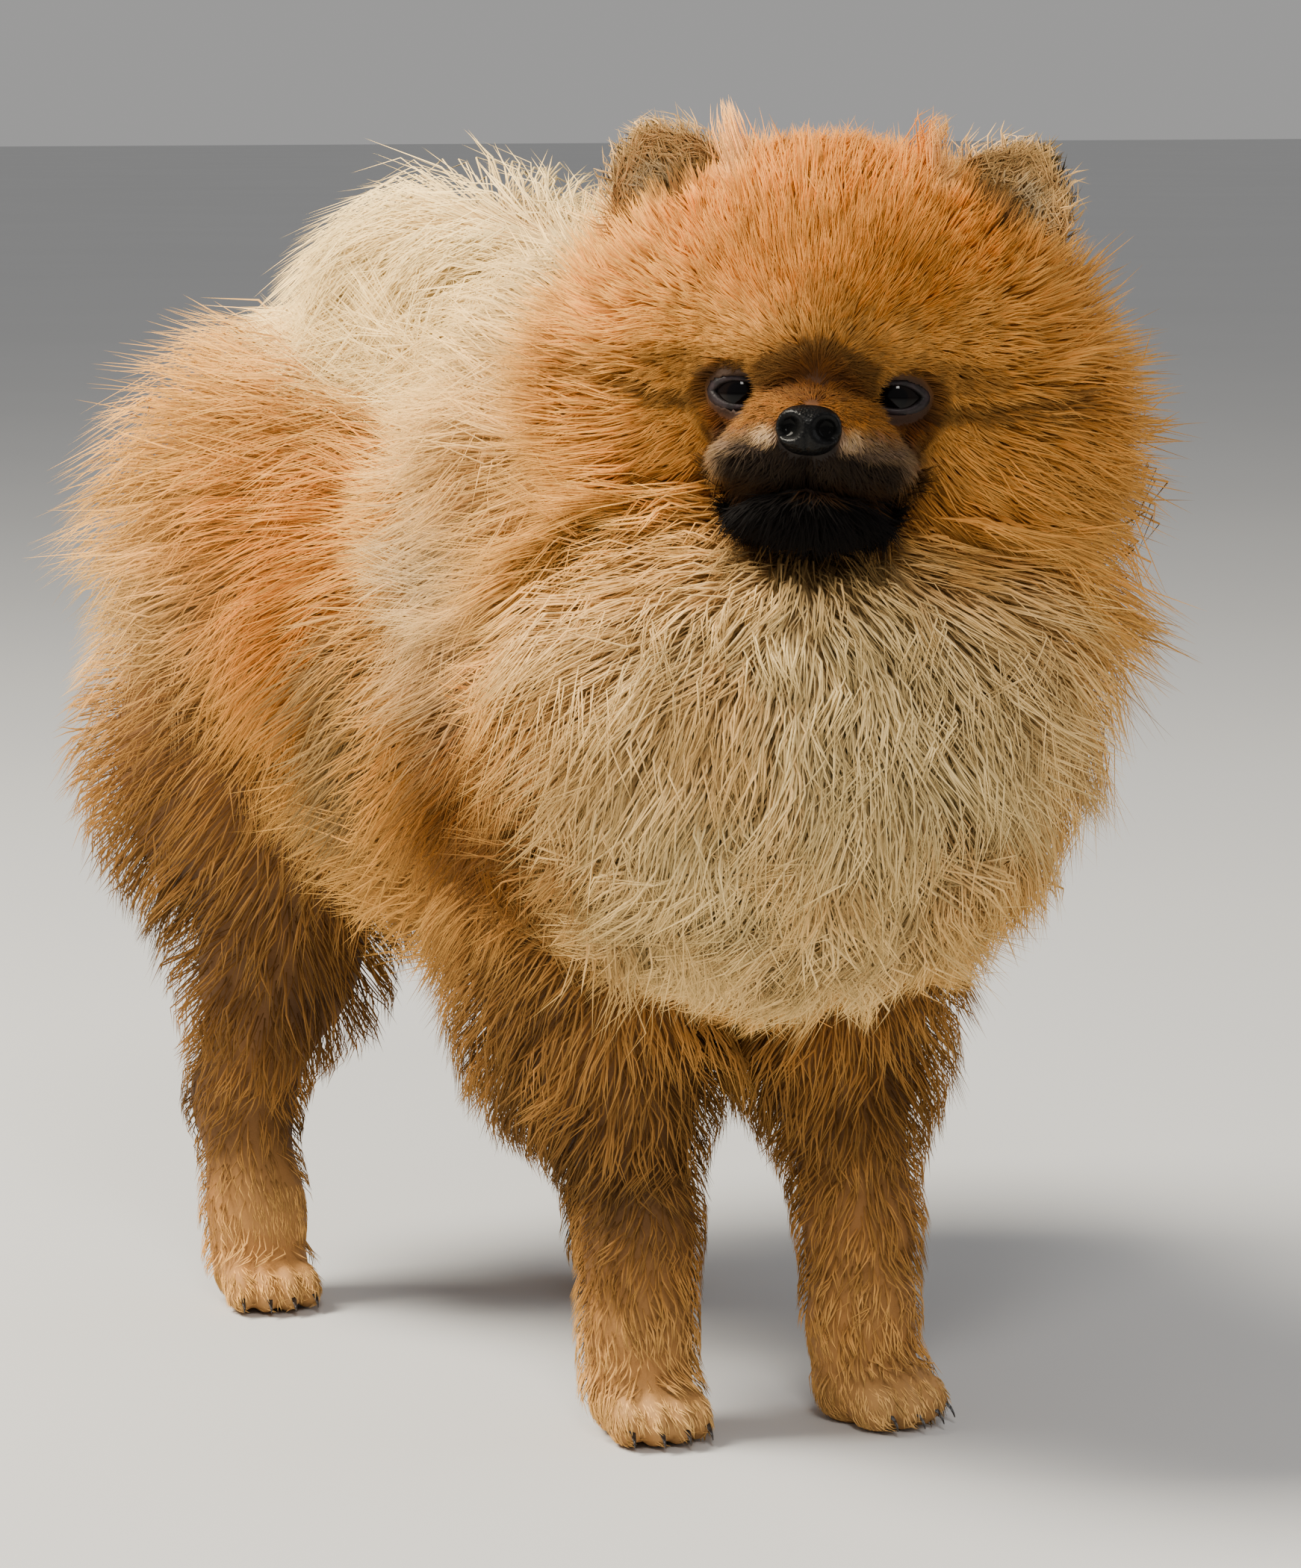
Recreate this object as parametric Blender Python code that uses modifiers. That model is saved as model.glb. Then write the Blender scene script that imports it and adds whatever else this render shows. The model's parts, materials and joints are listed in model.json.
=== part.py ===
"""A Pomeranian standing on all fours with its head turned towards its right.

Metres, +Z up. The dog faces -Y, its left side is +X, and its soles stand on z = 0.
Each node is a core of flesh and under-coat, fused from rounded masses, with the flat
tapered locks of the long coat rooted in it. The same masses with their whole depth of
coat give the outline, and each lock is draped along it, so that it bends with the lie
of the coat. Where two nodes meet, the lower one is cut back by GAP, so that they touch
face to face.
"""
import math

import bmesh
import bpy
import numpy as np
from mathutils import Matrix, Vector
from mathutils.bvhtree import BVHTree

NAME = "pomeranian"
SEED = 4
GAP = 0.0003

# How much of the coat's depth the cores take up
CORE_SHARE = 0.45

# Stance: where each paw's middle stands, and how far its toes turn outward
FRONT_PAWS = {"right": (-0.0315, 0.0), "left": (0.0308, -0.0169)}
HIND_PAWS = {"right": (-0.0531, 0.1926), "left": (0.0535, 0.159)}
TOES_TURN = {"front_right": -8.0, "front_left": 14.0, "hind_right": -12.0, "hind_left": 8.0}
PAW_WIDTH = 0.027
PASTERN_Z = 0.030
CLAW_LENGTH = 0.0055
CLAW_WIDTH = 0.0021

# Head: its middle, its turn and tilt, and the half sizes of the skull
HEAD = Vector((0.001, -0.036, 0.298))
HEAD_TURN = -36.0
HEAD_ROLL = 3.0
SKULL = Vector((0.0365, 0.040, 0.031))
HEAD_BACK = 0.024

# Eyes, in the head's own axes
EYE_SPACING = 0.0430
EYE_RADIUS = 0.0085
EYE_FORWARD = 0.0235
EYE_DROP = 0.0115
LID_THICK = 0.0014
EYE_OPENING = (0.0063, 0.0040)

# Nose pad and mouth
NOSE_FORWARD = 0.0555
NOSE_DROP = 0.0195
NOSE_SIZE = Vector((0.0080, 0.0055, 0.0062))
NOSTRIL_APART = 0.0045
NOSTRIL_SIZE = Vector((0.0021, 0.0030, 0.0019))
MOUTH_DROP = 0.0345
MOUTH_GROOVE = 0.0006

# Ears
EAR_APART = 0.0430
EAR_UP = 0.0350
EAR_BACK = 0.0060
EAR_SIZE = Vector((0.0140, 0.0085, 0.0185))
EAR_WALL = 0.0022
EAR_LEAN = 24.0

# Locks: how deep a root is sunk, and width and thickness at each place along the blade
LOCK_SINK = 0.006
LOCK_PROFILE = ((0.0, 0.60, 1.0), (0.40, 1.0, 1.0), (0.75, 0.70, 0.6))
LOCK_SWAY = 0.16
TIP_LIFT = 0.007
TIP_MITRE = 8.0
LOCK_CLEARANCE = 2.0

COLOURS = {
    "rust": (0.43, 0.19, 0.07),
    "gold": (0.62, 0.38, 0.18),
    "cream": (0.78, 0.64, 0.45),
    "dark": (0.02, 0.018, 0.018),
}


def place(x, y, z):
    """A point of the layout, which starts level with the front right paw"""
    return Vector((x, y, z))


def head_frame():
    """The head's own axes: +X its left, +Y backwards, +Z up"""
    turn = Matrix.Rotation(math.radians(HEAD_TURN), 4, "Z")
    roll = Matrix.Rotation(math.radians(HEAD_ROLL), 4, "Y")
    return Matrix.Translation(HEAD) @ turn @ roll


def sign(side):
    """+1 on the dog's left, -1 on its right"""
    return 1.0 if side == "left" else -1.0


def material(name, colour, roughness):
    """A Principled material of one colour"""
    made = bpy.data.materials.new(name)
    made.use_nodes = True
    shader = made.node_tree.nodes["Principled BSDF"]
    shader.inputs["Base Color"].default_value = (*COLOURS[colour], 1.0)
    shader.inputs["Roughness"].default_value = roughness
    shader.inputs["Metallic"].default_value = 0.0
    return made


def from_bmesh(name, shape, collection):
    """A new object for a bmesh, which is freed"""
    bmesh.ops.recalc_face_normals(shape, faces=shape.faces)
    mesh = bpy.data.meshes.new(name)
    shape.to_mesh(mesh)
    shape.free()
    made = bpy.data.objects.new(name, mesh)
    collection.objects.link(made)
    return made


def copied(piece, collection):
    """A copy of an object with a mesh of its own"""
    made = bpy.data.objects.new(piece.name + "_copy", piece.data.copy())
    collection.objects.link(made)
    return made


def applied(piece):
    """Swap an object's mesh for the result of its modifiers"""
    bpy.context.view_layer.update()
    graph = bpy.context.evaluated_depsgraph_get()
    mesh = bpy.data.meshes.new_from_object(piece.evaluated_get(graph))
    old = piece.data
    piece.modifiers.clear()
    piece.data = mesh
    bpy.data.meshes.remove(old)
    return piece


def drop(pieces):
    """Remove objects and their meshes"""
    for piece in list(pieces):
        mesh = piece.data
        bpy.data.objects.remove(piece)
        bpy.data.meshes.remove(mesh)


def boolean(piece, others, operation):
    """One Boolean of a piece with a list of closed objects, which are used up"""
    if not others:
        return piece
    tools = bpy.data.collections.new("boolean_tools")
    bpy.context.scene.collection.children.link(tools)
    for other in others:
        tools.objects.link(other)
    step = piece.modifiers.new("boolean", "BOOLEAN")
    step.operation = operation
    step.solver = "MANIFOLD"
    step.operand_type = "COLLECTION"
    step.collection = tools
    applied(piece)
    drop(others)
    bpy.data.collections.remove(tools)
    return piece


def keep_largest(piece):
    """Keep a piece's largest closed surface, and split its faces into triangles"""
    shape = bmesh.new()
    shape.from_mesh(piece.data)
    bmesh.ops.triangulate(shape, faces=shape.faces)
    left = set(shape.faces)
    best = set()
    while left:
        surface = {left.pop()}
        edge = list(surface)
        while edge:
            for side in edge.pop().edges:
                for near in side.link_faces:
                    if near in left:
                        left.discard(near)
                        surface.add(near)
                        edge.append(near)
        if len(surface) > len(best):
            best = surface
    extra = [face for face in shape.faces if face not in best]
    bmesh.ops.delete(shape, geom=extra, context="FACES")
    shape.to_mesh(piece.data)
    shape.free()
    return piece


def cut_off(piece, frame, collection):
    """Cut a piece flat along a frame's XY plane, and drop what is above it"""
    half = 0.5
    box = bmesh.new()
    bmesh.ops.create_cube(box, size=2 * half, matrix=frame @ Matrix.Translation((0, 0, half)))
    return keep_largest(boolean(piece, [from_bmesh("slab", box, collection)], "DIFFERENCE"))


def grown(piece, collection):
    """A copy of a closed piece whose surface stands out by the gap"""
    made = copied(piece, collection)
    shape = bmesh.new()
    shape.from_mesh(made.data)
    shape.normal_update()
    for point in shape.verts:
        point.co += point.normal * GAP
    shape.to_mesh(made.data)
    shape.free()
    return made


def ball(shape, centre, radii, turn=None, detail=3):
    """Add an ellipsoid to a bmesh"""
    spin = turn.to_4x4() if turn else Matrix.Identity(4)
    matrix = Matrix.Translation(centre) @ spin @ Matrix.Diagonal((*radii, 1.0))
    bmesh.ops.create_icosphere(shape, subdivisions=detail, radius=1.0, matrix=matrix)


def chain(shape, points, radii, step=0.35):
    """Add a string of balls that follows points, closer than their radius"""
    for start, end, r0, r1 in zip(points, points[1:], radii, radii[1:]):
        count = max(2, math.ceil((end - start).length / (step * min(r0, r1))))
        for i in range(count + 1):
            r = r0 + (r1 - r0) * i / count
            ball(shape, start.lerp(end, i / count), (r, r, r), detail=2)


def rebuilt(mesh):
    """A bmesh of a mesh whose edges follow its faces, the same on any number of threads"""
    shape = bmesh.new()
    points = [shape.verts.new(point.co) for point in mesh.vertices]
    for face in mesh.polygons:
        shape.faces.new([points[i] for i in face.vertices])
    return shape


def fused(name, shape, collection, voxel, rounds, triangles):
    """Fuse overlapping balls into one smooth closed surface of about so many triangles"""
    piece = from_bmesh(name, shape, collection)
    skin = piece.modifiers.new("fuse", "REMESH")
    skin.mode = "VOXEL"
    skin.voxel_size = voxel
    applied(piece)
    shape = rebuilt(piece.data)
    for _ in range(rounds):
        bmesh.ops.smooth_vert(shape, verts=shape.verts, factor=0.5, use_axis_x=True,
                              use_axis_y=True, use_axis_z=True)
    shape.to_mesh(piece.data)
    shape.free()
    count = sum(len(face.vertices) - 2 for face in piece.data.polygons)
    thin = piece.modifiers.new("thin", "DECIMATE")
    thin.ratio = min(1.0, triangles / count)
    thin.use_collapse_triangulate = True
    return keep_largest(applied(piece))


def mass(shape, share, centre, flesh, coat=(0.0, 0.0, 0.0), turn=None):
    """Add a rounded mass by its middle, its flesh radii and a share of its coat's depths"""
    ball(shape, centre, [f + c * share for f, c in zip(flesh, coat)], turn)


def torso_form(work, share):
    """Chest, loin and rump"""
    shape = bmesh.new()
    mass(shape, share, place(0.0, 0.000, 0.186), (0.046, 0.055, 0.048), (0.038, 0.040, 0.036))
    mass(shape, share, place(0.0, 0.085, 0.190), (0.047, 0.080, 0.044), (0.042, 0.040, 0.050))
    mass(shape, share, place(0.0, 0.178, 0.212), (0.047, 0.055, 0.046), (0.050, 0.050, 0.036))
    mass(shape, share, place(-0.004, 0.206, 0.240), (0.036, 0.034, 0.030),
         (0.048, 0.040, 0.034))
    return fused("torso", shape, work, 0.005, 8, 340)


def neck_form(work, share):
    """Neck and ruff, from the throat to the withers"""
    shape = bmesh.new()
    mass(shape, share, place(0.004, -0.028, 0.205), (0.036, 0.032, 0.036),
         (0.060, 0.038, 0.036))
    mass(shape, share, place(0.0, 0.040, 0.250), (0.034, 0.036, 0.040), (0.048, 0.040, 0.042))
    frame = head_frame()
    collar = frame @ Vector((0.0, 0.034, -0.034))
    mass(shape, share, collar, (0.034, 0.026, 0.038), (0.064, 0.026, 0.048), frame.to_3x3())
    return fused("neck", shape, work, 0.005, 8, 300)


def tail_form(work, share):
    """The tail: up from the croup, then forward over the back"""
    shape = bmesh.new()
    path = [(0.203, 0.238), (0.208, 0.268), (0.188, 0.292), (0.155, 0.298), (0.100, 0.294)]
    points = [place(0.0, y, z) for y, z in path]
    radii = [0.010 + 0.045 * share * part for part in (0.2, 0.45, 0.8, 1.0, 0.9)]
    chain(shape, points, radii)
    return fused("tail", shape, work, 0.004, 6, 180)


def front_leg_form(work, share, side):
    """One front leg, from inside the chest to its pastern"""
    x, y = FRONT_PAWS[side]
    out = sign(side)
    shape = bmesh.new()
    points = [
        place(x, y + 0.004, 0.022),
        place(x - 0.001 * out, y + 0.006, 0.055),
        place(x - 0.002 * out, y + 0.016, 0.100),
        place(x - 0.002 * out, y + 0.016, 0.150),
    ]
    coat = 0.012 * share
    radii = [0.0132, 0.0142, 0.016 + coat, 0.022 + coat]
    chain(shape, points, radii)
    mass(shape, share, place(x + 0.006 * out, y + 0.032, 0.125), (0.015, 0.016, 0.040),
         (0.018, 0.034, 0.016))
    piece = fused("leg_front_" + side, shape, work, 0.003, 6, 180)
    return cut_off(piece, pastern(1), work)


def hind_leg_form(work, share, side):
    """One hind leg: thigh, hock and pastern"""
    x, y = HIND_PAWS[side]
    out = sign(side)
    shape = bmesh.new()
    points = [
        place(x, y + 0.006, 0.022),
        place(x, y + 0.014, 0.062),
        place(x * 0.95, y - 0.006, 0.105),
        place(x * 0.80, y - 0.012, 0.160),
    ]
    coat = 0.020 * share
    radii = [0.0132, 0.0145, 0.014 + coat, 0.028 + coat]
    chain(shape, points, radii)
    mass(shape, share, place(0.052 * out, y + 0.018, 0.165), (0.022, 0.034, 0.044),
         (0.027, 0.030, 0.018))
    piece = fused("leg_hind_" + side, shape, work, 0.0035, 6, 220)
    return cut_off(piece, pastern(1), work)


def pastern(way):
    """The plane that parts a paw from its leg, facing the leg's end or the paw's"""
    if way > 0:
        return Matrix.Translation((0, 0, PASTERN_Z + GAP)) @ Matrix.Rotation(math.pi, 4, "X")
    return Matrix.Translation((0, 0, PASTERN_Z))


def paw(work, name, x, y):
    """One paw: a pad, four toes and their claws, flat on the floor"""
    shape = bmesh.new()
    turn = Matrix.Rotation(math.radians(TOES_TURN[name]), 3, "Z")
    middle = place(x, y, 0.0)
    ball(shape, middle + turn @ Vector((0, 0.004, 0.0085)), (0.0125, 0.0125, 0.0125))
    ball(shape, middle + turn @ Vector((0, 0.006, 0.026)), (0.0132, 0.0132, 0.018))
    toe = PAW_WIDTH / 4
    claws = []
    for i in range(4):
        off = (i - 1.5) / 1.5
        root = middle + turn @ Vector((off * toe * 1.47, -0.0095 - 0.0045 * (1 - abs(off)), 0.0068))
        ball(shape, root, (toe * 0.62, 0.0085, 0.0068))
        claws.append((root + turn @ Vector((off * 0.001, -0.0058, -0.0022)), off))
    piece = fused("paw_" + name, shape, work, 0.0012, 3, 260)
    horns = [claw(work, spot, turn, off) for spot, off in claws]
    boolean(piece, horns, "UNION")
    cut_off(piece, Matrix.Rotation(math.pi, 4, "X"), work)
    return cut_off(piece, pastern(-1), work)


def claw(work, spot, turn, off):
    """One claw, a short cone that points forward and down"""
    shape = bmesh.new()
    lean = Matrix.Rotation(math.radians(118), 4, "X")
    splay = Matrix.Rotation(math.radians(10 * off), 4, "Z")
    matrix = Matrix.Translation(spot) @ turn.to_4x4() @ splay @ lean
    bmesh.ops.create_cone(shape, cap_ends=True, segments=6, radius1=CLAW_WIDTH / 2,
                          radius2=0.0003, depth=CLAW_LENGTH, matrix=matrix)
    return from_bmesh("claw", shape, work)


def head_form(work, share):
    """Skull, cheeks, muzzle, lips and chin, with the coat of crown and cheeks"""
    frame = head_frame()
    turn = frame.to_3x3()
    shape = bmesh.new()

    def lump(centre, flesh, coat=(0.0, 0.0, 0.0)):
        mass(shape, share, frame @ Vector(centre), flesh, coat, turn)

    lump((0.0, 0.0, 0.0), SKULL)
    lump((0.0, 0.006, 0.006), (0.035, 0.032, 0.028), (0.034, 0.006, 0.025))
    lump((0.0, -0.036, -0.021), (0.0175, 0.021, 0.0115))
    lump((0.0, -0.036, -0.038), (0.0155, 0.0155, 0.0085))
    for side in (-1, 1):
        lump((side * 0.026, 0.008, -0.020), (0.016, 0.018, 0.018), (0.036, 0.010, 0.024))
        lump((side * 0.0095, -0.0445, -0.0275), (0.0115, 0.0125, 0.0075))
    piece = fused("head", shape, work, 0.0022, 3, 950)
    back = frame @ Matrix.Translation((0, HEAD_BACK, 0)) @ Matrix.Rotation(-math.pi / 2, 4, "X")
    return cut_off(piece, back, work)


def head_core(work):
    """The head with its lids, the slits between them and the line of its mouth"""
    frame = head_frame()
    piece = head_form(work, CORE_SHARE)
    lids = [lid(work, side) for side in ("left", "right")]
    boolean(piece, lids, "UNION")
    cuts = [eye_slit(work, side) for side in ("left", "right")]
    cuts += [mouth_line(work, frame), philtrum(work, frame)]
    return keep_largest(boolean(piece, cuts, "DIFFERENCE"))


def eye_place(side):
    """The middle of an eyeball"""
    return head_frame() @ Vector((sign(side) * EYE_SPACING / 2, -EYE_FORWARD, -EYE_DROP))


def eye_turn(side):
    """An eye's own axes: it looks a little outward"""
    outward = Matrix.Rotation(math.radians(14 * sign(side)), 3, "Z")
    return head_frame().to_3x3() @ outward


def lid(work, side):
    """The lids of one eye, a shell round the eyeball"""
    shape = bmesh.new()
    ball(shape, eye_place(side), (EYE_RADIUS + GAP + LID_THICK,) * 3)
    return from_bmesh("lid", shape, work)


def eye_slit(work, side):
    """The almond between the lids, cut through to the eyeball"""
    shape = bmesh.new()
    turn = eye_turn(side)
    centre = eye_place(side) + turn @ Vector((0, -EYE_RADIUS, 0))
    ball(shape, centre, (EYE_OPENING[0], EYE_RADIUS * 0.8, EYE_OPENING[1]), turn, 2)
    return from_bmesh("slit", shape, work)


def eye(work, side):
    """One eyeball"""
    shape = bmesh.new()
    ball(shape, eye_place(side), (EYE_RADIUS,) * 3)
    return from_bmesh("eye_" + side, shape, work)


def groove(work, name, points):
    """A thin round cutter that follows points"""
    path = bpy.data.curves.new(name, "CURVE")
    path.dimensions = "3D"
    path.bevel_depth = MOUTH_GROOVE
    path.bevel_resolution = 0
    path.use_fill_caps = True
    line = path.splines.new("POLY")
    line.points.add(len(points) - 1)
    for node, point in zip(line.points, points):
        node.co = (*point, 1.0)
    curve = bpy.data.objects.new(name, path)
    work.objects.link(curve)
    bpy.context.view_layer.update()
    graph = bpy.context.evaluated_depsgraph_get()
    shape = bmesh.new()
    shape.from_mesh(bpy.data.meshes.new_from_object(curve.evaluated_get(graph)))
    bmesh.ops.remove_doubles(shape, verts=shape.verts, dist=0.00001)
    bpy.data.objects.remove(curve)
    return from_bmesh(name, shape, work)


def mouth_line(work, frame):
    """The line between the lips, under the nose and down to both corners"""
    points = []
    for i in range(13):
        t = i / 6 - 1
        x = 0.0205 * t
        y = -0.0545 + 0.021 * t * t
        z = -MOUTH_DROP - 0.0035 * t * t
        points.append(frame @ Vector((x, y, z)))
    return groove(work, "mouth_line", points)


def philtrum(work, frame):
    """The short line from the nose to the lips"""
    points = [frame @ Vector((0, -0.0565, -NOSE_DROP)), frame @ Vector((0, -0.0560, -MOUTH_DROP))]
    return groove(work, "philtrum", points)


def nose(work):
    """The nose pad with two nostrils"""
    frame = head_frame()
    turn = frame.to_3x3()
    shape = bmesh.new()
    ball(shape, frame @ Vector((0, -NOSE_FORWARD, -NOSE_DROP)), NOSE_SIZE, turn)
    piece = from_bmesh("nose", shape, work)
    holes = []
    for side in (-1, 1):
        hole = bmesh.new()
        spot = Vector((side * NOSTRIL_APART, -NOSE_FORWARD - NOSE_SIZE.y, -NOSE_DROP + 0.0004))
        ball(hole, frame @ spot, NOSTRIL_SIZE, turn, 2)
        holes.append(from_bmesh("nostril", hole, work))
    return keep_largest(boolean(piece, holes, "DIFFERENCE"))


def ear_spot(side):
    """An ear's own axes, which lean outward"""
    out = sign(side)
    lean = Matrix.Rotation(math.radians(EAR_LEAN * out), 4, "Y")
    return head_frame() @ Matrix.Translation((out * EAR_APART, EAR_BACK, EAR_UP)) @ lean


def ear_shell(work, side, grow=0.0):
    """The outside of one ear, made larger all round by grow"""
    spot = ear_spot(side)
    shell = bmesh.new()
    ball(shell, spot.translation, EAR_SIZE + Vector((grow,) * 3), spot.to_3x3())
    return from_bmesh("ear_" + side, shell, work)


def ear(work, side):
    """One ear: a round-tipped cup that leans outward"""
    spot = ear_spot(side)
    turn = spot.to_3x3()
    piece = ear_shell(work, side)
    cup = bmesh.new()
    inside = EAR_SIZE - Vector((EAR_WALL,) * 3)
    ball(cup, spot @ Vector((0, -EAR_SIZE.y * 0.55, 0.0005)), inside, turn, 2)
    hollow = from_bmesh("ear_cup", cup, work)
    return keep_largest(boolean(piece, [hollow], "DIFFERENCE"))


class Coat:
    """Where a node's locks grow, how they lie and how long, wide and high they are"""

    def __init__(self, spacing, length, width, depth, thick, lie, bare=None):
        self.spacing = spacing
        self.length = length
        self.width = width
        self.depth = depth
        self.thick = thick
        self.lie = lie
        self.bare = bare


def spread(piece, spacing, draw):
    """Points and outward directions spread evenly over a closed piece of triangles"""
    mesh = piece.data
    points = np.array([point.co for point in mesh.vertices])
    normals = np.array([point.normal for point in mesh.vertices])
    faces = np.array([face.vertices for face in mesh.polygons])
    corners = points[faces]
    cross = np.cross(corners[:, 1] - corners[:, 0], corners[:, 2] - corners[:, 0])
    area = np.linalg.norm(cross, axis=1) / 2
    tries = int(area.sum() / spacing ** 2 * 30)
    chosen = draw.choice(len(faces), tries, p=area / area.sum())
    share = draw.random((tries, 2))
    over = share.sum(1) > 1
    share[over] = 1 - share[over]
    mix = np.column_stack([1 - share.sum(1), share])
    spots = (corners[chosen] * mix[:, :, None]).sum(1)
    ways = (normals[faces[chosen]] * mix[:, :, None]).sum(1)
    kept = []
    for spot, way in zip(spots, ways):
        if all(np.linalg.norm(spot - other) >= spacing for other, _ in kept):
            kept.append((spot, way / np.linalg.norm(way)))
    return [(Vector(spot), Vector(way)) for spot, way in kept]


def drape(outline, point, up, most):
    """Where a line through a point first meets the outline, moved at most so far"""
    hit, _, _, _ = outline.ray_cast(point + up * most, -up, 2 * most)
    return hit or point - up * 0.4 * most


def lock_path(outline, root, up, way, length, depth, sway):
    """Four control points: sunk in the core, up, then along the outline to the tip"""
    side = way.cross(up).normalized()
    bent = way + side * sway
    top = drape(outline, root + up * depth / 2, up, depth / 2)
    rise = (top - root).length
    middle = drape(outline, top + way * length * 0.5, up, 0.3 * length)
    end = drape(outline, top + bent * length, up, 0.45 * length)
    return (
        root - up * LOCK_SINK,
        root + up * rise * 0.9 + way * length * 0.12,
        middle + up * TIP_LIFT,
        end + up * TIP_LIFT,
    )


def curve_at(path, t):
    """A point and a direction on a cubic curve"""
    a, b, c, d = path
    s = 1 - t
    point = a * s ** 3 + b * 3 * s * s * t + c * 3 * s * t * t + d * t ** 3
    along = (b - a) * s * s + (c - b) * 2 * s * t + (d - c) * t * t
    return point, along.normalized()


def lock(path, up, width, thick, grow, collection):
    """A flat tapered blade along a path, made thicker all round by grow"""
    shape = bmesh.new()
    rings = []
    for t, broad, deep in LOCK_PROFILE:
        point, along = curve_at(path, t)
        across = along.cross(up).normalized()
        out = across.cross(along)
        if t == 0:
            point = point - along * grow
        slope = math.atan2(2 * thick * deep, width * broad)
        side = across * (width * broad / 2 + grow * (1 + math.cos(slope)) / math.sin(slope))
        top = out * (thick * deep / 2 + grow / math.cos(slope))
        under = out * (thick * deep / 2 + grow)
        corners = (point + side - under, point + top, point - side - under)
        rings.append([shape.verts.new(corner) for corner in corners])
    onward = (path[-1] - point).normalized()
    end = shape.verts.new(path[-1] + onward * grow * TIP_MITRE)
    shape.faces.new(rings[0])
    for low, high in zip(rings, rings[1:]):
        for i in range(3):
            j = (i + 1) % 3
            shape.faces.new((low[i], low[j], high[i]))
            shape.faces.new((low[j], high[j], high[i]))
    for i in range(3):
        shape.faces.new((rings[-1][i], rings[-1][(i + 1) % 3], end))
    return from_bmesh("lock", shape, collection)


def plan_locks(core, coat, outline, draw, buried):
    """The locks of one node, as arguments for lock()"""
    rows = []
    for root, up in spread(core, coat.spacing, draw):
        scale = draw.uniform(0.88, 1.14)
        sway = draw.uniform(-LOCK_SWAY, LOCK_SWAY)
        wide = draw.uniform(0.9, 1.12)
        if buried(root) or (coat.bare and coat.bare(root, up)):
            continue
        flow, size = coat.lie(root, up)
        way = flow - up * flow.dot(up)
        if way.length < 0.05:
            continue
        length = coat.length * scale * size
        depth = coat.depth * size
        slim = min(1.0, size)
        path = lock_path(outline, root, up, way.normalized(), length, depth, sway)
        rows.append((path, up, coat.width * wide * slim, coat.thick * slim))
    return rows


def dressed(core, rows, grow, collection):
    """A core with its locks fused on, grown by the gap if it is to be a cutter"""
    base = grown(core, collection) if grow else copied(core, collection)
    blades = [lock(*row, LOCK_CLEARANCE * grow, collection) for row in rows]
    return boolean(base, blades, "UNION")


def head_lie(root, up):
    """Out from the nose over cheeks and crown"""
    frame = head_frame()
    local = frame.inverted() @ root
    flow = local - Vector((0, -0.050, -0.012))
    flow = flow.normalized() + Vector((0, 0.15, -0.25 if local.z < 0.01 else 0.25))
    return frame.to_3x3() @ flow, 1.0 if local.z < 0.015 else 0.78


def head_bare(root, up):
    """The short fur of the face"""
    local = head_frame().inverted() @ root
    front = -0.024 if local.z > 0.024 else -0.014
    ear = Vector((math.copysign(EAR_APART, local.x), EAR_BACK, EAR_UP))
    chin = local.z < -0.026 and abs(local.x) < 0.031
    return local.y < front or local.y > HEAD_BACK - 0.004 or chin or (local - ear).length < 0.021


def neck_lie(root, up):
    """Away from the face, and down over the chest"""
    face = head_frame() @ Vector((0, -0.02, -0.02))
    flow = (root - face).normalized() + Vector((0, 0.25, -0.65))
    if root.z > 0.27:
        flow = (root - face).normalized() + Vector((0, 0.9, 0.0))
    return flow, 1.0


def torso_lie(root, up):
    """Back along the body, and down on its sides and chest"""
    side = abs(up.x)
    down = -0.25 - 0.75 * max(side, up.y)
    if up.z < -0.2:
        down = -0.5
    back = 1.0 if up.y > -0.3 else 0.1
    return Vector((0.25 * up.x, back, down)), 1.0


def tail_lie(root, up):
    """Outward from the tail to both sides, and forward over the back"""
    behind = max(0.0, up.y)
    out = max(-0.9, min(0.9, root.x / 0.012)) + up.x
    return Vector((out, -0.7 + 1.5 * behind, 0.5 * behind - 0.2)), 1.0


def front_leg_lie(root, up):
    """Down the leg, longer behind it"""
    return Vector((0, 0.35, -1.0)), 1.0 if up.y > 0.2 and root.z > 0.07 else 0.6


def hind_leg_lie(root, up):
    """Down and back, long on the thigh"""
    size = 1.0 if root.z > 0.11 else 0.55
    return Vector((0.15 * up.x, 0.75 if root.z > 0.08 else 0.35, -0.9)), size


def low_on_leg(root, up):
    """The short fur near the paws and between the legs"""
    return root.z < 0.055 or up.x * root.x < -0.3 * abs(root.x)


COATS = {
    "head": Coat(0.0205, 0.034, 0.026, 0.026, 0.0050, head_lie, head_bare),
    "neck": Coat(0.0270, 0.060, 0.036, 0.038, 0.0080, neck_lie),
    "tail": Coat(0.0255, 0.052, 0.034, 0.036, 0.0070, tail_lie),
    "torso": Coat(0.0305, 0.064, 0.038, 0.036, 0.0080, torso_lie),
    "leg_front": Coat(0.0230, 0.044, 0.028, 0.026, 0.0050, front_leg_lie, low_on_leg),
    "leg_hind": Coat(0.0270, 0.050, 0.032, 0.026, 0.0060, hind_leg_lie, low_on_leg),
}


def coat_of(name):
    """The coat of a node, if it has one"""
    return next((coat for kind, coat in COATS.items() if name.startswith(kind)), None)


def tree_of(pieces):
    """One search tree of several pieces' surfaces"""
    points = []
    faces = []
    for piece in pieces:
        start = len(points)
        points += [point.co.copy() for point in piece.data.vertices]
        faces += [[start + i for i in face.vertices] for face in piece.data.polygons]
    return BVHTree.FromPolygons(points, faces)


def inside(tree, point):
    """Whether a point lies inside a closed surface"""
    hits = 0
    start = point.copy()
    way = Vector((0.31, 0.52, 0.79)).normalized()
    while hits < 20:
        hit, _, _, _ = tree.ray_cast(start, way)
        if hit is None:
            break
        hits += 1
        start = hit + way * 1e-5
    return hits % 2 == 1


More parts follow.
